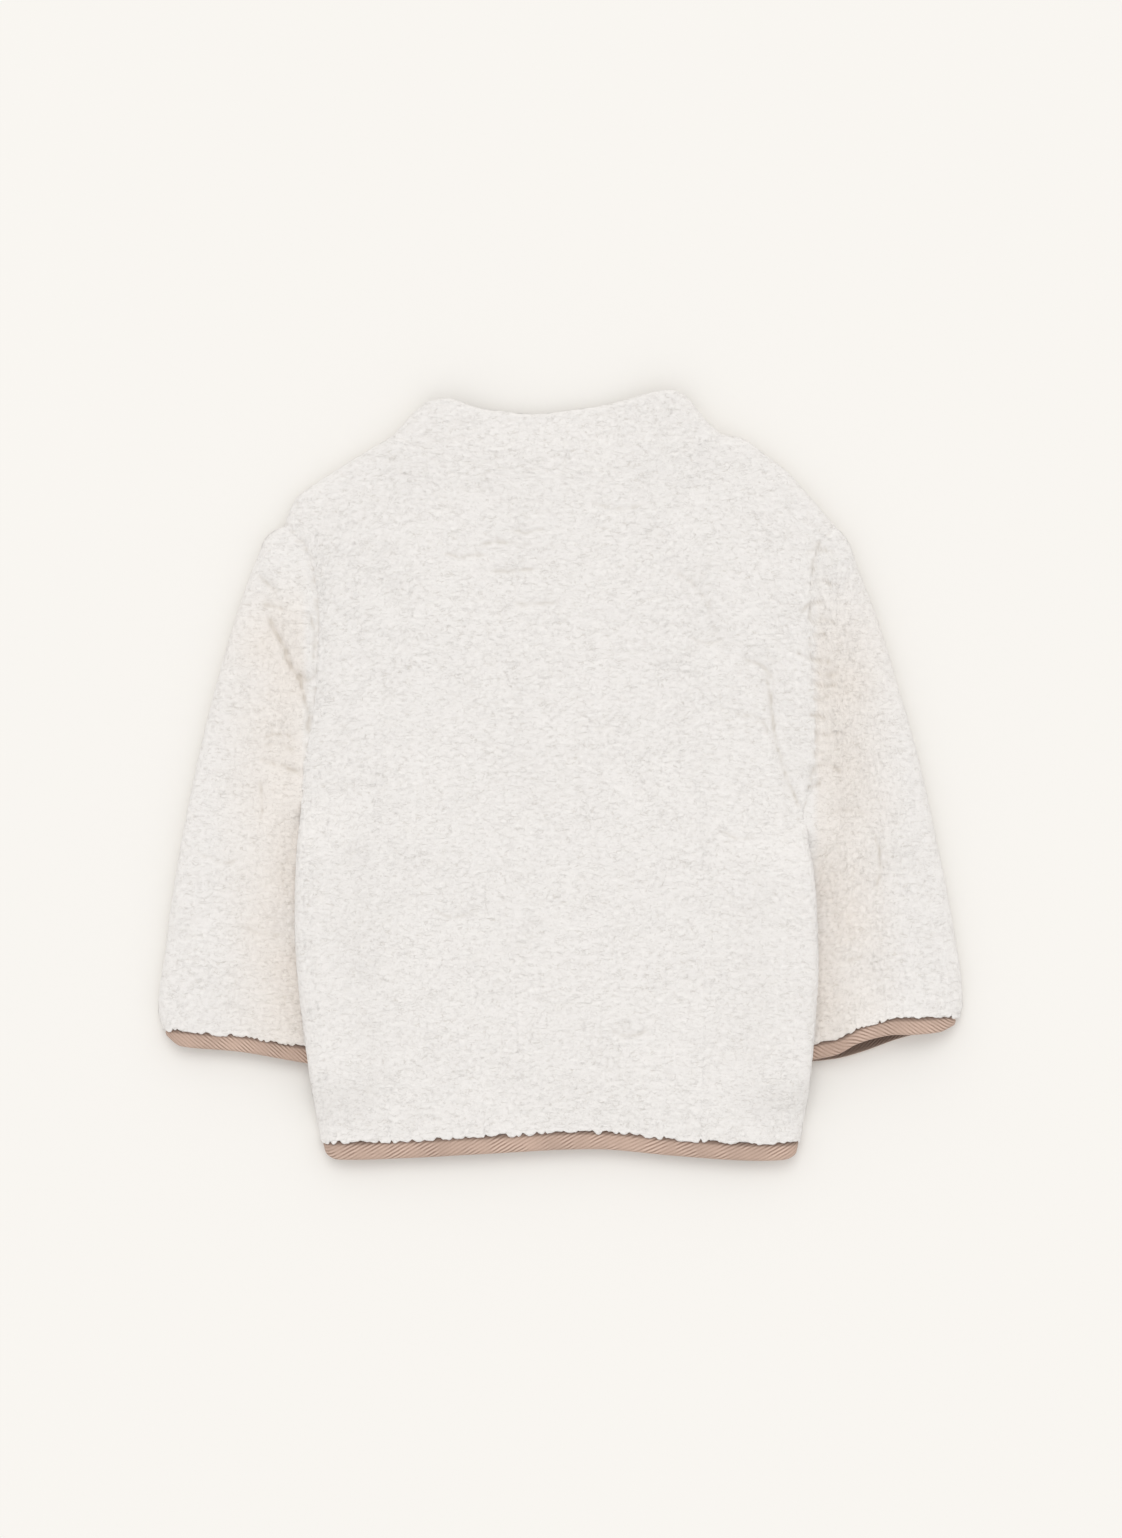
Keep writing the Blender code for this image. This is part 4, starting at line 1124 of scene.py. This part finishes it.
def tape_material():
    """Twill tape: slanting raised yarns, one for each unit of the tape's own UV map."""
    if "slanted_twill" in bpy.data.materials:
        return bpy.data.materials["slanted_twill"]
    tape = tape_settings()
    material, nodes, links, shader = new_material("slanted_twill")
    marked = nodes.new("ShaderNodeUVMap")
    marked.uv_map = "tape"
    split = nodes.new("ShaderNodeSeparateXYZ")
    links.new(marked.outputs[0], split.inputs[0])
    place = nodes.new("ShaderNodeTexCoord").outputs["Object"]
    waver, _ = add_noise(nodes, links, place, 0.004, 2.0)
    sway = add_math(nodes, links, "MULTIPLY", waver, 0.3)
    phase = add_math(nodes, links, "ADD", split.outputs[1], sway)
    angle = add_math(nodes, links, "MULTIPLY", phase, FULL_TURN)
    wave = add_math(nodes, links, "SINE", angle, 0.0)
    worn = add_ramp(nodes, links, add_noise(nodes, links, place, 0.009, 2.0)[0], 0.4, 0.62, 0.25, 0.95)
    ribbed = add_ramp(nodes, links, wave, -1.0, 0.5, -0.5, 0.5)
    lined = add_math(nodes, links, "MULTIPLY", ribbed, worn)
    raised = add_math(nodes, links, "ADD", lined, 0.55)
    yarn, _ = add_noise(nodes, links, place, 0.0005, 2.0, 0.6)
    fuzz = add_math(nodes, links, "MULTIPLY", add_math(nodes, links, "SUBTRACT", yarn, 0.5), 0.5)
    tone = add_math(nodes, links, "ADD", raised, fuzz, clamp=True)
    body = add_mix(nodes, links, tone, tuple(tape.dark), tuple(tape.light))
    faded = add_ramp(nodes, links, add_noise(nodes, links, place, 0.02, 3.0)[0], 0.3, 0.7, 0.9, 1.05)
    shade = nodes.new("ShaderNodeCombineColor")
    for socket in shade.inputs:
        links.new(faded, socket)
    body = add_mix(nodes, links, 1.0, body, shade.outputs[0], "MULTIPLY")
    # Painted shadow inside the cuff's mouth and painted shade under the pile's lip
    inside = add_math(nodes, links, "MULTIPLY", add_attribute(nodes, "inside"), 0.74)
    body = add_mix(nodes, links, inside, body, tuple(tape.inner))
    links.new(body, shader.inputs["Base Color"])
    height = add_math(nodes, links, "ADD", raised, add_math(nodes, links, "MULTIPLY", yarn, 0.4))
    bump = nodes.new("ShaderNodeBump")
    bump.inputs["Strength"].default_value = 0.8
    bump.inputs["Distance"].default_value = 0.0004
    links.new(height, bump.inputs["Height"])
    links.new(bump.outputs["Normal"], shader.inputs["Normal"])
    shader.inputs["Roughness"].default_value = 0.8
    shader.inputs["Specular IOR Level"].default_value = 0.25
    shader.inputs["Sheen Weight"].default_value = 0.1
    return material


# The pieces
def body_corner(shares):
    return corner_width(np.minimum(shares, 1 - shares) * BODY_WIDTH)


def body_grid(patch, step, curve, nominal):
    """Shares u and v of a body grid that starts at the tape and ends at the shoulders, and how
    deep each row lies under the skin."""
    length = patch.length(nominal)
    edge = patch.place(nominal, np.zeros_like(nominal))
    far = hem_rows(on_floor(edge), body_corner(nominal))
    hem = far / length
    top = 1 - curve_steps(curve)[::-1, None] / length
    count = int(round((length.mean() - far[-1].mean() - FOLD_REACH) / step))
    rise = np.linspace(0, 1, count + 1)[1:-1, None]
    v = np.concatenate([hem, hem[-1] + rise * (top[0] - hem[-1]), top])
    u = np.broadcast_to(nominal, v.shape)
    depth = np.concatenate([LIP_DEPTHS, np.zeros(len(v) - len(LIP_DEPTHS))])
    return u, v, depth


def seam_distance(patch, u, v, nominal):
    """Distance from the armhole and neck seams over the body."""
    width = patch.width(v[:, len(nominal) // 2])[:, None]
    to_side = np.minimum(u, 1 - u) * width
    to_neck = (1 - v) * patch.length(nominal)[None, :]
    above = smoothstep((v - UNDERARM_SHARE) / 0.02) > 0.5
    armhole = np.where(above, to_side, np.inf)
    neck = np.where(np.abs(u - 0.5) < 0.5 - NECK_SHARE, to_neck + NECK_SOFTNESS, np.inf)
    return np.minimum(armhole, neck)


def body_panel(name, tube, layer, nominal, coarse, step, curve):
    """One panel of the body as a closed shell. Its columns stand at the nominal shares on the
    shown face, and at the coarse ones on the inner face."""
    patch = tube.plans[layer]
    u, v, depth = body_grid(patch, step, curve, nominal)
    points, normals = tube.skin(layer, u, v)
    seam = seam_distance(patch, u, v, nominal)
    edge = np.broadcast_to(depth[:, None], v.shape)
    pressed = np.full(v.shape, 1.0 if layer == UPPER else HIDDEN_PILE)
    pressed[:len(LIP_PRESSED)] *= LIP_PRESSED[:, None]
    face, values = pile_face(points, normals, seam, edge, pressed)
    rows = np.linspace(0, 1, BODY_INSIDE_ROWS)
    tape = tape_settings().width / MM * body_corner(coarse) + 0.2
    start = tape / patch.length(coarse)
    back_v = start + rows[:, None] * (1 - start)
    back_u = np.broadcast_to(coarse, back_v.shape)
    back_points, back_normals = tube.skin(layer, back_u, back_v)
    back = back_points - back_normals * FLEECE_WALL
    at_u = (nominal - nominal[0]) / (nominal[-1] - nominal[0])
    at_v = np.linspace(0, 1, len(v))
    coarse_at = (coarse - coarse[0]) / (coarse[-1] - coarse[0])
    outer, inner = (face, at_u, at_v), (back, coarse_at, rows)
    return shell(name, outer, inner, fleece_material(), values, False)


def dress(piece, node):
    """Puts a piece under the root body and hides its node's imported solid."""
    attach(piece, "root")
    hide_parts(node)


def body_shares(step, curve):
    return edge_to_edge(BODY_WIDTH, step, curve) / BODY_WIDTH


def front_shares(width, step, curve):
    """Shares across a ring this wide, from its left fold to the slit in the middle of its front."""
    edge = 0.5 - FRONT_GAP / 2 / width
    steps = curve_steps(curve) / width
    count = max(2, int(round((edge * width - FOLD_REACH) / step)))
    return np.concatenate([steps, np.linspace(steps[-1], edge, count + 1)[1:]])


def mirrored(shares):
    return (1 - shares)[::-1]


def open_ring(upper, lower, split):
    """The columns of both layers as one run, from the slit round over the back and to it again."""
    return np.concatenate([lower[:, split:], upper[:, -2:0:-1], lower[:, :split]], axis=1)


class JACKET_OT_back(bpy.types.Operator):
    """Build the back panel"""

    bl_idname = "jacket.back"
    bl_label = "Back"

    def execute(self, context):
        step = context.scene.jacket_fleece.step / MM
        nominal = body_shares(step, FACE_CURVE)
        coarse = body_shares(*BODY_INSIDE)
        piece = body_panel("fleece_back", body_tube(), UPPER, nominal, coarse, step, FACE_CURVE)
        dress(piece, "back")
        return {"FINISHED"}


class JACKET_OT_fronts(bpy.types.Operator):
    """Build the two fronts, which lie under the back"""

    bl_idname = "jacket.fronts"
    bl_label = "Fronts"

    def execute(self, context):
        step = context.scene.jacket_fleece.step / MM * FRONT_COARSENESS
        nominal = front_shares(BODY_WIDTH, step, PLAIN_CURVE)
        coarse = front_shares(BODY_WIDTH, *BODY_INSIDE)
        for side in Sides._fields:
            if side == "right":
                nominal, coarse = mirrored(nominal), mirrored(coarse)
            name = f"fleece_front_{side}"
            piece = body_panel(name, body_tube(), LOWER, nominal, coarse, step, PLAIN_CURVE)
            dress(piece, f"front_{side}")
        return {"FINISHED"}


def ring(upper, lower):
    """The columns of both layers as one closed ring for each row."""
    return np.concatenate([upper, lower[:, -2:0:-1]], axis=1)


def sleeve_width(patch):
    return patch.width(np.array([0.5]))[0]


def sleeve_grid(patch, step, cuff_edge):
    """Shares u and v of one layer of a sleeve, from its armhole to its tape, how deep each row
    lies under the skin, and the length of each column."""
    middle_width = sleeve_width(patch)
    nominal = edge_to_edge(middle_width, step, FACE_CURVE) / middle_width
    length = patch.length(nominal)
    far = hem_rows(on_floor(cuff_edge(nominal)), corner_width(nominal * middle_width))
    cuff = 1 - far[::-1] / length
    count = int(round((length.mean() - far[-1].mean()) / step))
    run = np.linspace(0, 1, count + 1)[:-1, None]
    v = np.concatenate([run * cuff[0], cuff])
    inner = nominal[FACE_CURVE:-FACE_CURVE]
    low, high = nominal[FACE_CURVE - 1], nominal[-FACE_CURVE]
    share = (inner - low) / (high - low)
    u = np.empty(v.shape)
    for row, width in enumerate(patch.width(v.mean(1))):
        steps = curve_steps(FACE_CURVE) / width
        middle = steps[-1] + share * (1 - 2 * steps[-1])
        u[row] = np.concatenate([steps, middle, 1 - steps[::-1]])
    depth = np.concatenate([np.zeros(len(v) - len(LIP_DEPTHS)), LIP_DEPTHS[::-1]])
    return u, v, depth, length


def with_rows(rows, u, v, depth):
    """The grid with another number of rows, and its rows at the cuff as they were."""
    lip = len(LIP_DEPTHS)
    at = np.linspace(0, len(v) - 1 - lip, rows - lip)
    picked = np.concatenate([at, len(v) - lip + np.arange(lip)])
    low = np.floor(picked).astype(int)
    high = np.minimum(low + 1, len(v) - 1)
    part = (picked - low)[:, None]
    u = u[low] * (1 - part) + u[high] * part
    v = v[low] * (1 - part) + v[high] * part
    return u, v, np.concatenate([np.zeros(rows - lip), depth[-lip:]])


def sleeve_face(tube, side, step):
    """The sleeve's shown face, upper and lower layer, with its point values."""
    layers = []
    rows = None
    for layer, cuff in ((UPPER, CUFF_UPPER), (LOWER, CUFF_LOWER)):
        u, v, depth, length = sleeve_grid(tube.plans[layer], step, line(getattr(cuff, side)))
        rows = rows or len(v)
        if len(v) != rows:
            u, v, depth = with_rows(rows, u, v, depth)
        points, normals = tube.skin(layer, u, v)
        edge = np.broadcast_to(depth[:, None], v.shape)
        pressed = np.full(v.shape, 1.0 if layer == UPPER else HIDDEN_PILE)
        pressed[-len(LIP_PRESSED):] *= LIP_PRESSED[::-1, None]
        from_underarm = np.linalg.norm(points[..., :2] - getattr(ARMHOLE, side)[0], axis=-1)
        pressed *= 1 - CALM_SHARE * np.exp(-((from_underarm / CALM_REACH) ** 2))
        layers.append((points, normals, v * length, edge, pressed))
    points, *rest = (ring(upper, lower) for upper, lower in zip(*layers))
    face, values = pile_face(points, *rest)
    # Painted warm shade beside the body
    values["cast"] = painted_side_shade(points)
    return face, values


def sleeve_inside(tube):
    """The sleeve's plain inner face."""
    middle_width = sleeve_width(tube.plans[UPPER])
    coarse = edge_to_edge(middle_width, *SLEEVE_INSIDE) / middle_width
    rows = np.linspace(0, 1, SLEEVE_INSIDE_ROWS)[:, None]
    tape = tape_settings().width / MM * corner_width(coarse * middle_width) + 0.2
    layers = []
    for layer in (UPPER, LOWER):
        v = rows * (1 - tape / tube.plans[layer].length(coarse))
        layers.append(tube.skin(layer, np.broadcast_to(coarse, v.shape), v))
    points, normals = (ring(upper, lower) for upper, lower in zip(*layers))
    return points - normals * FLEECE_WALL


class JACKET_OT_sleeves(bpy.types.Operator):
    """Build both sleeves"""

    bl_idname = "jacket.sleeves"
    bl_label = "Sleeves"

    def execute(self, context):
        step = context.scene.jacket_fleece.step / MM * SLEEVE_COARSENESS
        for side, cut in zip(Sides._fields, SLEEVE_CUTS):
            tube = sleeve_tube(side)
            face, values = sleeve_face(tube, side, step)
            back = sleeve_inside(tube)
            outer, inner = (
                (grid, np.arange(grid.shape[1]) / grid.shape[1], None) for grid in (face, back)
            )
            piece = shell(f"fleece_sleeve_{side}", outer, inner, fleece_material(), values, True)
            dress(piece, f"sleeve_{side}")
        return {"FINISHED"}


def collar_rings(tube, rows, step, curve):
    """Points and normals round the collar at these shares of its height, from its open front."""
    whole = edge_to_edge(NECK_WIDTH, step, curve) / NECK_WIDTH
    half = front_shares(NECK_WIDTH, step, curve)
    front = np.concatenate([half, mirrored(half)])
    layers = []
    for layer, columns in ((UPPER, whole), (LOWER, front)):
        v = np.broadcast_to(rows[:, None], (len(rows), len(columns)))
        layers.append(tube.skin(layer, np.broadcast_to(columns, v.shape), v))
    return tuple(open_ring(upper, lower, len(half)) for upper, lower in zip(*layers))


def collar_face(tube, step):
    """The collar's shown face, whose last rows turn in over its top edge."""
    rows = np.linspace(0, 1, max(4, int(round(COLLAR_RUN / step))))[:-3]
    rows = np.concatenate([rows, 1 - COLLAR_LIP / COLLAR_HEIGHT])
    points, normals = collar_rings(tube, rows, step, FACE_CURVE)
    seam = np.broadcast_to(rows[:, None] * COLLAR_HEIGHT + NECK_SOFTNESS, points.shape[:2])
    pressed = np.where(normals[..., 2] < -0.5, HIDDEN_PILE, 1.0)
    face, values = pile_face(points, normals, seam, np.zeros_like(pressed), pressed)
    to_top = (1 - rows)[:, None, None] * COLLAR_HEIGHT
    face = face - normals * COLLAR_TURN_IN * np.clip(1 - to_top / COLLAR_LIP[0], 0, 1) ** 2
    return (face, np.linspace(0, 1, points.shape[1]), rows), values


def collar_inside(tube):
    """The collar's plain inner face, which is nearer to the shown one at its top edge."""
    rows = np.linspace(0, 1, max(4, int(round(COLLAR_RUN / COLLAR_INSIDE.step))))
    points, normals = collar_rings(tube, rows, *COLLAR_INSIDE)
    near_top = smoothstep((rows - 1 + COLLAR_EDGE) / COLLAR_EDGE)
    drawn = COLLAR_DRAWN * near_top[:, None, None]
    face = points - normals * (COLLAR_WALL - drawn)
    return face, np.linspace(0, 1, points.shape[1]), rows


class JACKET_OT_collar(bpy.types.Operator):
    """Build the doubled stand collar"""

    bl_idname = "jacket.collar"
    bl_label = "Collar"

    def execute(self, context):
        tube = collar_tube()
        outer, values = collar_face(tube, context.scene.jacket_fleece.step / MM)
        inner = collar_inside(tube)
        piece = shell("fleece_collar", outer, inner, fleece_material(), values, False)
        dress(piece, "collar")
        return {"FINISHED"}


def tape_profile():
    """The folded tape's outline: distances from the edge, depths under the skin, and its running
    width from the upper raw edge."""
    width = tape_settings().width / MM
    top, bottom = TAPE_SINK, FLEECE_WALL - TAPE_SINK
    middle, half = (top + bottom) / 2, (bottom - top) / 2
    flat = np.linspace(width, TAPE_TURN, TAPE_FLAT)
    sunk = top + TAPE_DIP * smoothstep((flat - DIP_START) / DIP_RUN)
    angles = np.linspace(np.pi / 2, -np.pi / 2, TAPE_ROUND + 2)[1:-1]
    far = np.concatenate([flat, TAPE_TURN - TAPE_TURN * np.cos(angles), flat[::-1]])
    deep = np.concatenate([
        sunk, middle - half * np.sin(angles), np.full(len(flat), bottom)
    ])
    inner_far = np.concatenate([flat[::3], [INNER_TURN], [INNER_TURN], flat[::-3]])
    inner_deep = np.concatenate([
        sunk[::3] + TAPE_WALL, [middle - INNER_HALF], [middle + INNER_HALF],
        np.full(len(flat[::-3]), bottom - TAPE_WALL),
    ])
    run = np.concatenate([[0.0], np.cumsum(np.hypot(np.diff(far), np.diff(deep)))])
    inner_run = np.linspace(0, run[-1], len(inner_far))
    far = np.concatenate([far, inner_far[::-1]])
    deep = np.concatenate([deep, inner_deep[::-1]])
    return far, deep, np.concatenate([run, inner_run[::-1]])


def tape_piece(name, stations, across, slant, loop, inside):
    """A tape swept along its stations, with a UV map whose second axis counts its twill lines."""
    count, corners = stations.shape[:2]
    quads = grid_quads(count, corners, 0, True)
    triangles = []
    if loop:
        last = (count - 1) * corners
        corner = np.arange(corners)
        after = (corner + 1) % corners
        closing = np.stack([last + corner, last + after, after, corner], axis=-1)
        quads = np.concatenate([quads, closing])
    else:
        for first, flip in ((0, -1), ((count - 1) * corners, 1)):
            low, high = first, first + corners - 1
            while high - low > 1:
                triangles.append((low, low + 1, high)[::flip])
                if high - low > 2:
                    triangles.append((low + 1, high - 1, high)[::flip])
                low, high = low + 1, high - 1
    points = stations.reshape(-1, 3)
    values = {"inside": inside.ravel()}
    piece = build_mesh(name, points, quads, triangles, tape_material(), values)
    corners_at = np.empty(len(piece.data.loops), np.int32)
    piece.data.loops.foreach_get("vertex_index", corners_at)
    run = points[corners_at, 0]
    lines = run * np.sin(slant) + np.tile(across, count)[corners_at] * np.cos(slant)
    layer = piece.data.uv_layers.new(name="tape")
    uv = np.stack([run * MM, lines / tape_settings().pitch * MM], axis=-1)
    layer.data.foreach_set("uv", uv.ravel().astype(np.float32))
    return piece


def ripple(points, normals):
    """Small puckers along a sewn tape."""
    return points + normals * (PUCKER * soft_noise(points, PUCKER_SIZE, 120))[..., None]


def lip_shade(across):
    """How dark the tape is under the pile's lip, by its distance from the tape's raw edge."""
    return LIP_SHADE * (1 - smoothstep((across - LIP_SHADE_START) / LIP_SHADE_FADE))


def cuff_tape(side, step):
    """The tape round a cuff, with painted shadow on the lower layer's inner face inside the cuff's
    mouth, and painted shade under the pile's lip.
    """
    tube = sleeve_tube(side)
    width = tube.plans[UPPER].width(np.array([1.0]))[0]
    cuff = edge_to_edge(width, step, PLAIN_CURVE) / width
    far, deep, across = tape_profile()
    share = corner_width(cuff * width)
    inset = CORNER_SINK * (1 - share)
    inset = np.concatenate([inset, inset[-2:0:-1]])[None, :, None]
    corners = []
    for distance, depth in zip(far, deep):
        layers = []
        for layer in (UPPER, LOWER):
            v = 1 - distance * share / tube.plans[layer].length(cuff)
            layers.append(tube.skin(layer, cuff[None, :], v[None, :]))
        points, normals = (ring(upper, lower) for upper, lower in zip(*layers))
        corners.append((ripple(points, normals) - normals * (depth + inset))[0])
    stations = np.stack(corners, axis=1)
    # Painted shadow on the lower layer's inner face, inside the cuff's mouth, and painted shade under
    # the pile's lip
    under = np.arange(len(stations))[:, None] > len(cuff)
    inner_face = smoothstep((across - across.max() * TURNED_SHARE) / TURNED_FADE)
    inside = under * inner_face[None, :]
    inside = np.maximum(inside, lip_shade(across)[None, :])
    return tape_piece(f"tape_cuff_{side}", stations, across, CUFF_SLANT, True, inside)


def hem_tape(step):
    """The tape along the hem, from one front edge round to the other."""
    tube = body_tube()
    whole = body_shares(step, PLAIN_CURVE)
    half = front_shares(BODY_WIDTH, step, PLAIN_CURVE)
    front = np.concatenate([half, mirrored(half)])
    far, deep, across = tape_profile()
    upper_share, lower_share = body_corner(whole), body_corner(front)
    upper_length = tube.plans[UPPER].length(whole) / upper_share
    lower_length = tube.plans[LOWER].length(front) / lower_share
    inset = CORNER_SINK * (1 - open_ring(upper_share[None], lower_share[None], len(half))[0])
    corners = []
    for distance, depth in zip(far, deep):
        upper = tube.skin(UPPER, whole[None, :], (distance / upper_length)[None, :])
        lower = tube.skin(LOWER, front[None, :], (distance / lower_length)[None, :])
        run, out = (open_ring(over, under, len(half))[0] for over, under in zip(upper, lower))
        corners.append(ripple(run, out) - out * (depth + inset[:, None]))
    stations = np.stack(corners, axis=1)
    # Painted shade under the pile's lip
    inside = np.broadcast_to(lip_shade(across), stations.shape[:2])
    return tape_piece("tape_hem", stations, across, HEM_SLANT, False, inside)


class JACKET_OT_tapes(bpy.types.Operator):
    """Build the folded tape on the hem and both cuffs"""

    bl_idname = "jacket.tapes"
    bl_label = "Tapes"

    def execute(self, context):
        piece = hem_tape(HEM_TAPE_STEP)
        dress(piece, "hem_tape")
        for side in Sides._fields:
            piece = cuff_tape(side, CUFF_TAPE_STEP)
            dress(piece, f"cuff_tape_{side}")
        return {"FINISHED"}


def floor_material(colour):
    """Plain matt card with a very faint grain."""
    material, nodes, links, shader = new_material("floor_card")
    place = nodes.new("ShaderNodeTexCoord").outputs["Object"]
    grain, _ = add_noise(nodes, links, place, 0.4, 2.0)
    tone = add_ramp(nodes, links, grain, 0.2, 0.8, 0.998, 1.002)
    shade = nodes.new("ShaderNodeCombineColor")
    for socket in shade.inputs:
        links.new(tone, socket)
    card = add_mix(nodes, links, 1.0, tuple(colour), shade.outputs[0], "MULTIPLY")
    links.new(card, shader.inputs["Base Color"])
    shader.inputs["Roughness"].default_value = 1.0
    shader.inputs["Specular IOR Level"].default_value = 0.0
    return material


class JACKET_OT_stage(bpy.types.Operator):
    """Lay the floor and set the light and the camera"""

    bl_idname = "jacket.stage"
    bl_label = "Stage"

    def execute(self, context):
        stage = context.scene.jacket_stage
        bpy.ops.object.select_all(action="DESELECT")
        bpy.ops.mesh.primitive_plane_add(size=FLOOR_SIZE, location=(0, 0, -FLOOR_DROP))
        floor = context.active_object
        floor.name = "floor"
        bpy.ops.object.transform_apply(location=True, rotation=True, scale=True)
        floor.data.materials.append(floor_material(stage.floor))

        world = bpy.data.worlds.new("studio")
        context.scene.world = world
        world.use_nodes = True
        background = world.node_tree.nodes["Background"]
        background.inputs["Color"].default_value = (1, 1, 1, 1)
        background.inputs["Strength"].default_value = stage.sky

        bpy.ops.object.light_add(type="SUN", rotation=tuple(np.radians(LAMP_TURN)))
        lamp = context.active_object
        lamp.name = "soft_lamp"
        lamp.data.energy = stage.sun
        lamp.data.angle = np.radians(LAMP_SPREAD)

        over = (*CAMERA_OVER, stage.distance)
        bpy.ops.object.camera_add(location=over, rotation=(0, 0, 0))
        camera = context.active_object
        camera.name = "camera"
        camera.data.sensor_width = FILM_WIDTH
        camera.data.sensor_fit = "AUTO"
        camera.data.lens = FILM_WIDTH * (stage.distance - FIELD_HEIGHT) / stage.field
        camera.data.clip_end = CAMERA_REACH
        context.scene.camera = camera
        context.scene.view_settings.view_transform = "Standard"
        context.scene.view_settings.look = "None"
        return {"FINISHED"}


class JACKET_PT_panel(bpy.types.Panel):
    """Lists the jacket's pieces"""

    bl_label = "Fleece jacket"
    bl_idname = "JACKET_PT_panel"
    bl_space_type = "VIEW_3D"
    bl_region_type = "UI"
    bl_category = "Jacket"

    def draw(self, context):
        for name in GROUPS:
            group = getattr(context.scene, name)
            box = self.layout.box()
            box.label(text=group.bl_rna.description)
            for key in group.__annotations__:
                box.prop(group, key)
        for operator in OPERATORS:
            self.layout.operator(operator.bl_idname)


GROUPS = {
    "jacket_fleece": JacketFleece,
    "jacket_tape": JacketTape,
    "jacket_stage": JacketStage,
}
OPERATORS = (
    JACKET_OT_back,
    JACKET_OT_fronts,
    JACKET_OT_sleeves,
    JACKET_OT_collar,
    JACKET_OT_tapes,
    JACKET_OT_stage,
)


def register():
    for kind in (*GROUPS.values(), *OPERATORS, JACKET_PT_panel):
        bpy.utils.register_class(kind)
    for name, group in GROUPS.items():
        setattr(bpy.types.Scene, name, bpy.props.PointerProperty(type=group))


def unregister():
    for name in GROUPS:
        delattr(bpy.types.Scene, name)
    for kind in (JACKET_PT_panel, *reversed(OPERATORS), *reversed(GROUPS.values())):
        bpy.utils.unregister_class(kind)


def main():
    register()
    bpy.ops.jacket.fronts()
    bpy.ops.jacket.back()
    bpy.ops.jacket.sleeves()
    bpy.ops.jacket.collar()
    bpy.ops.jacket.tapes()
    bpy.ops.jacket.stage()


if __name__ == "__main__":
    main()
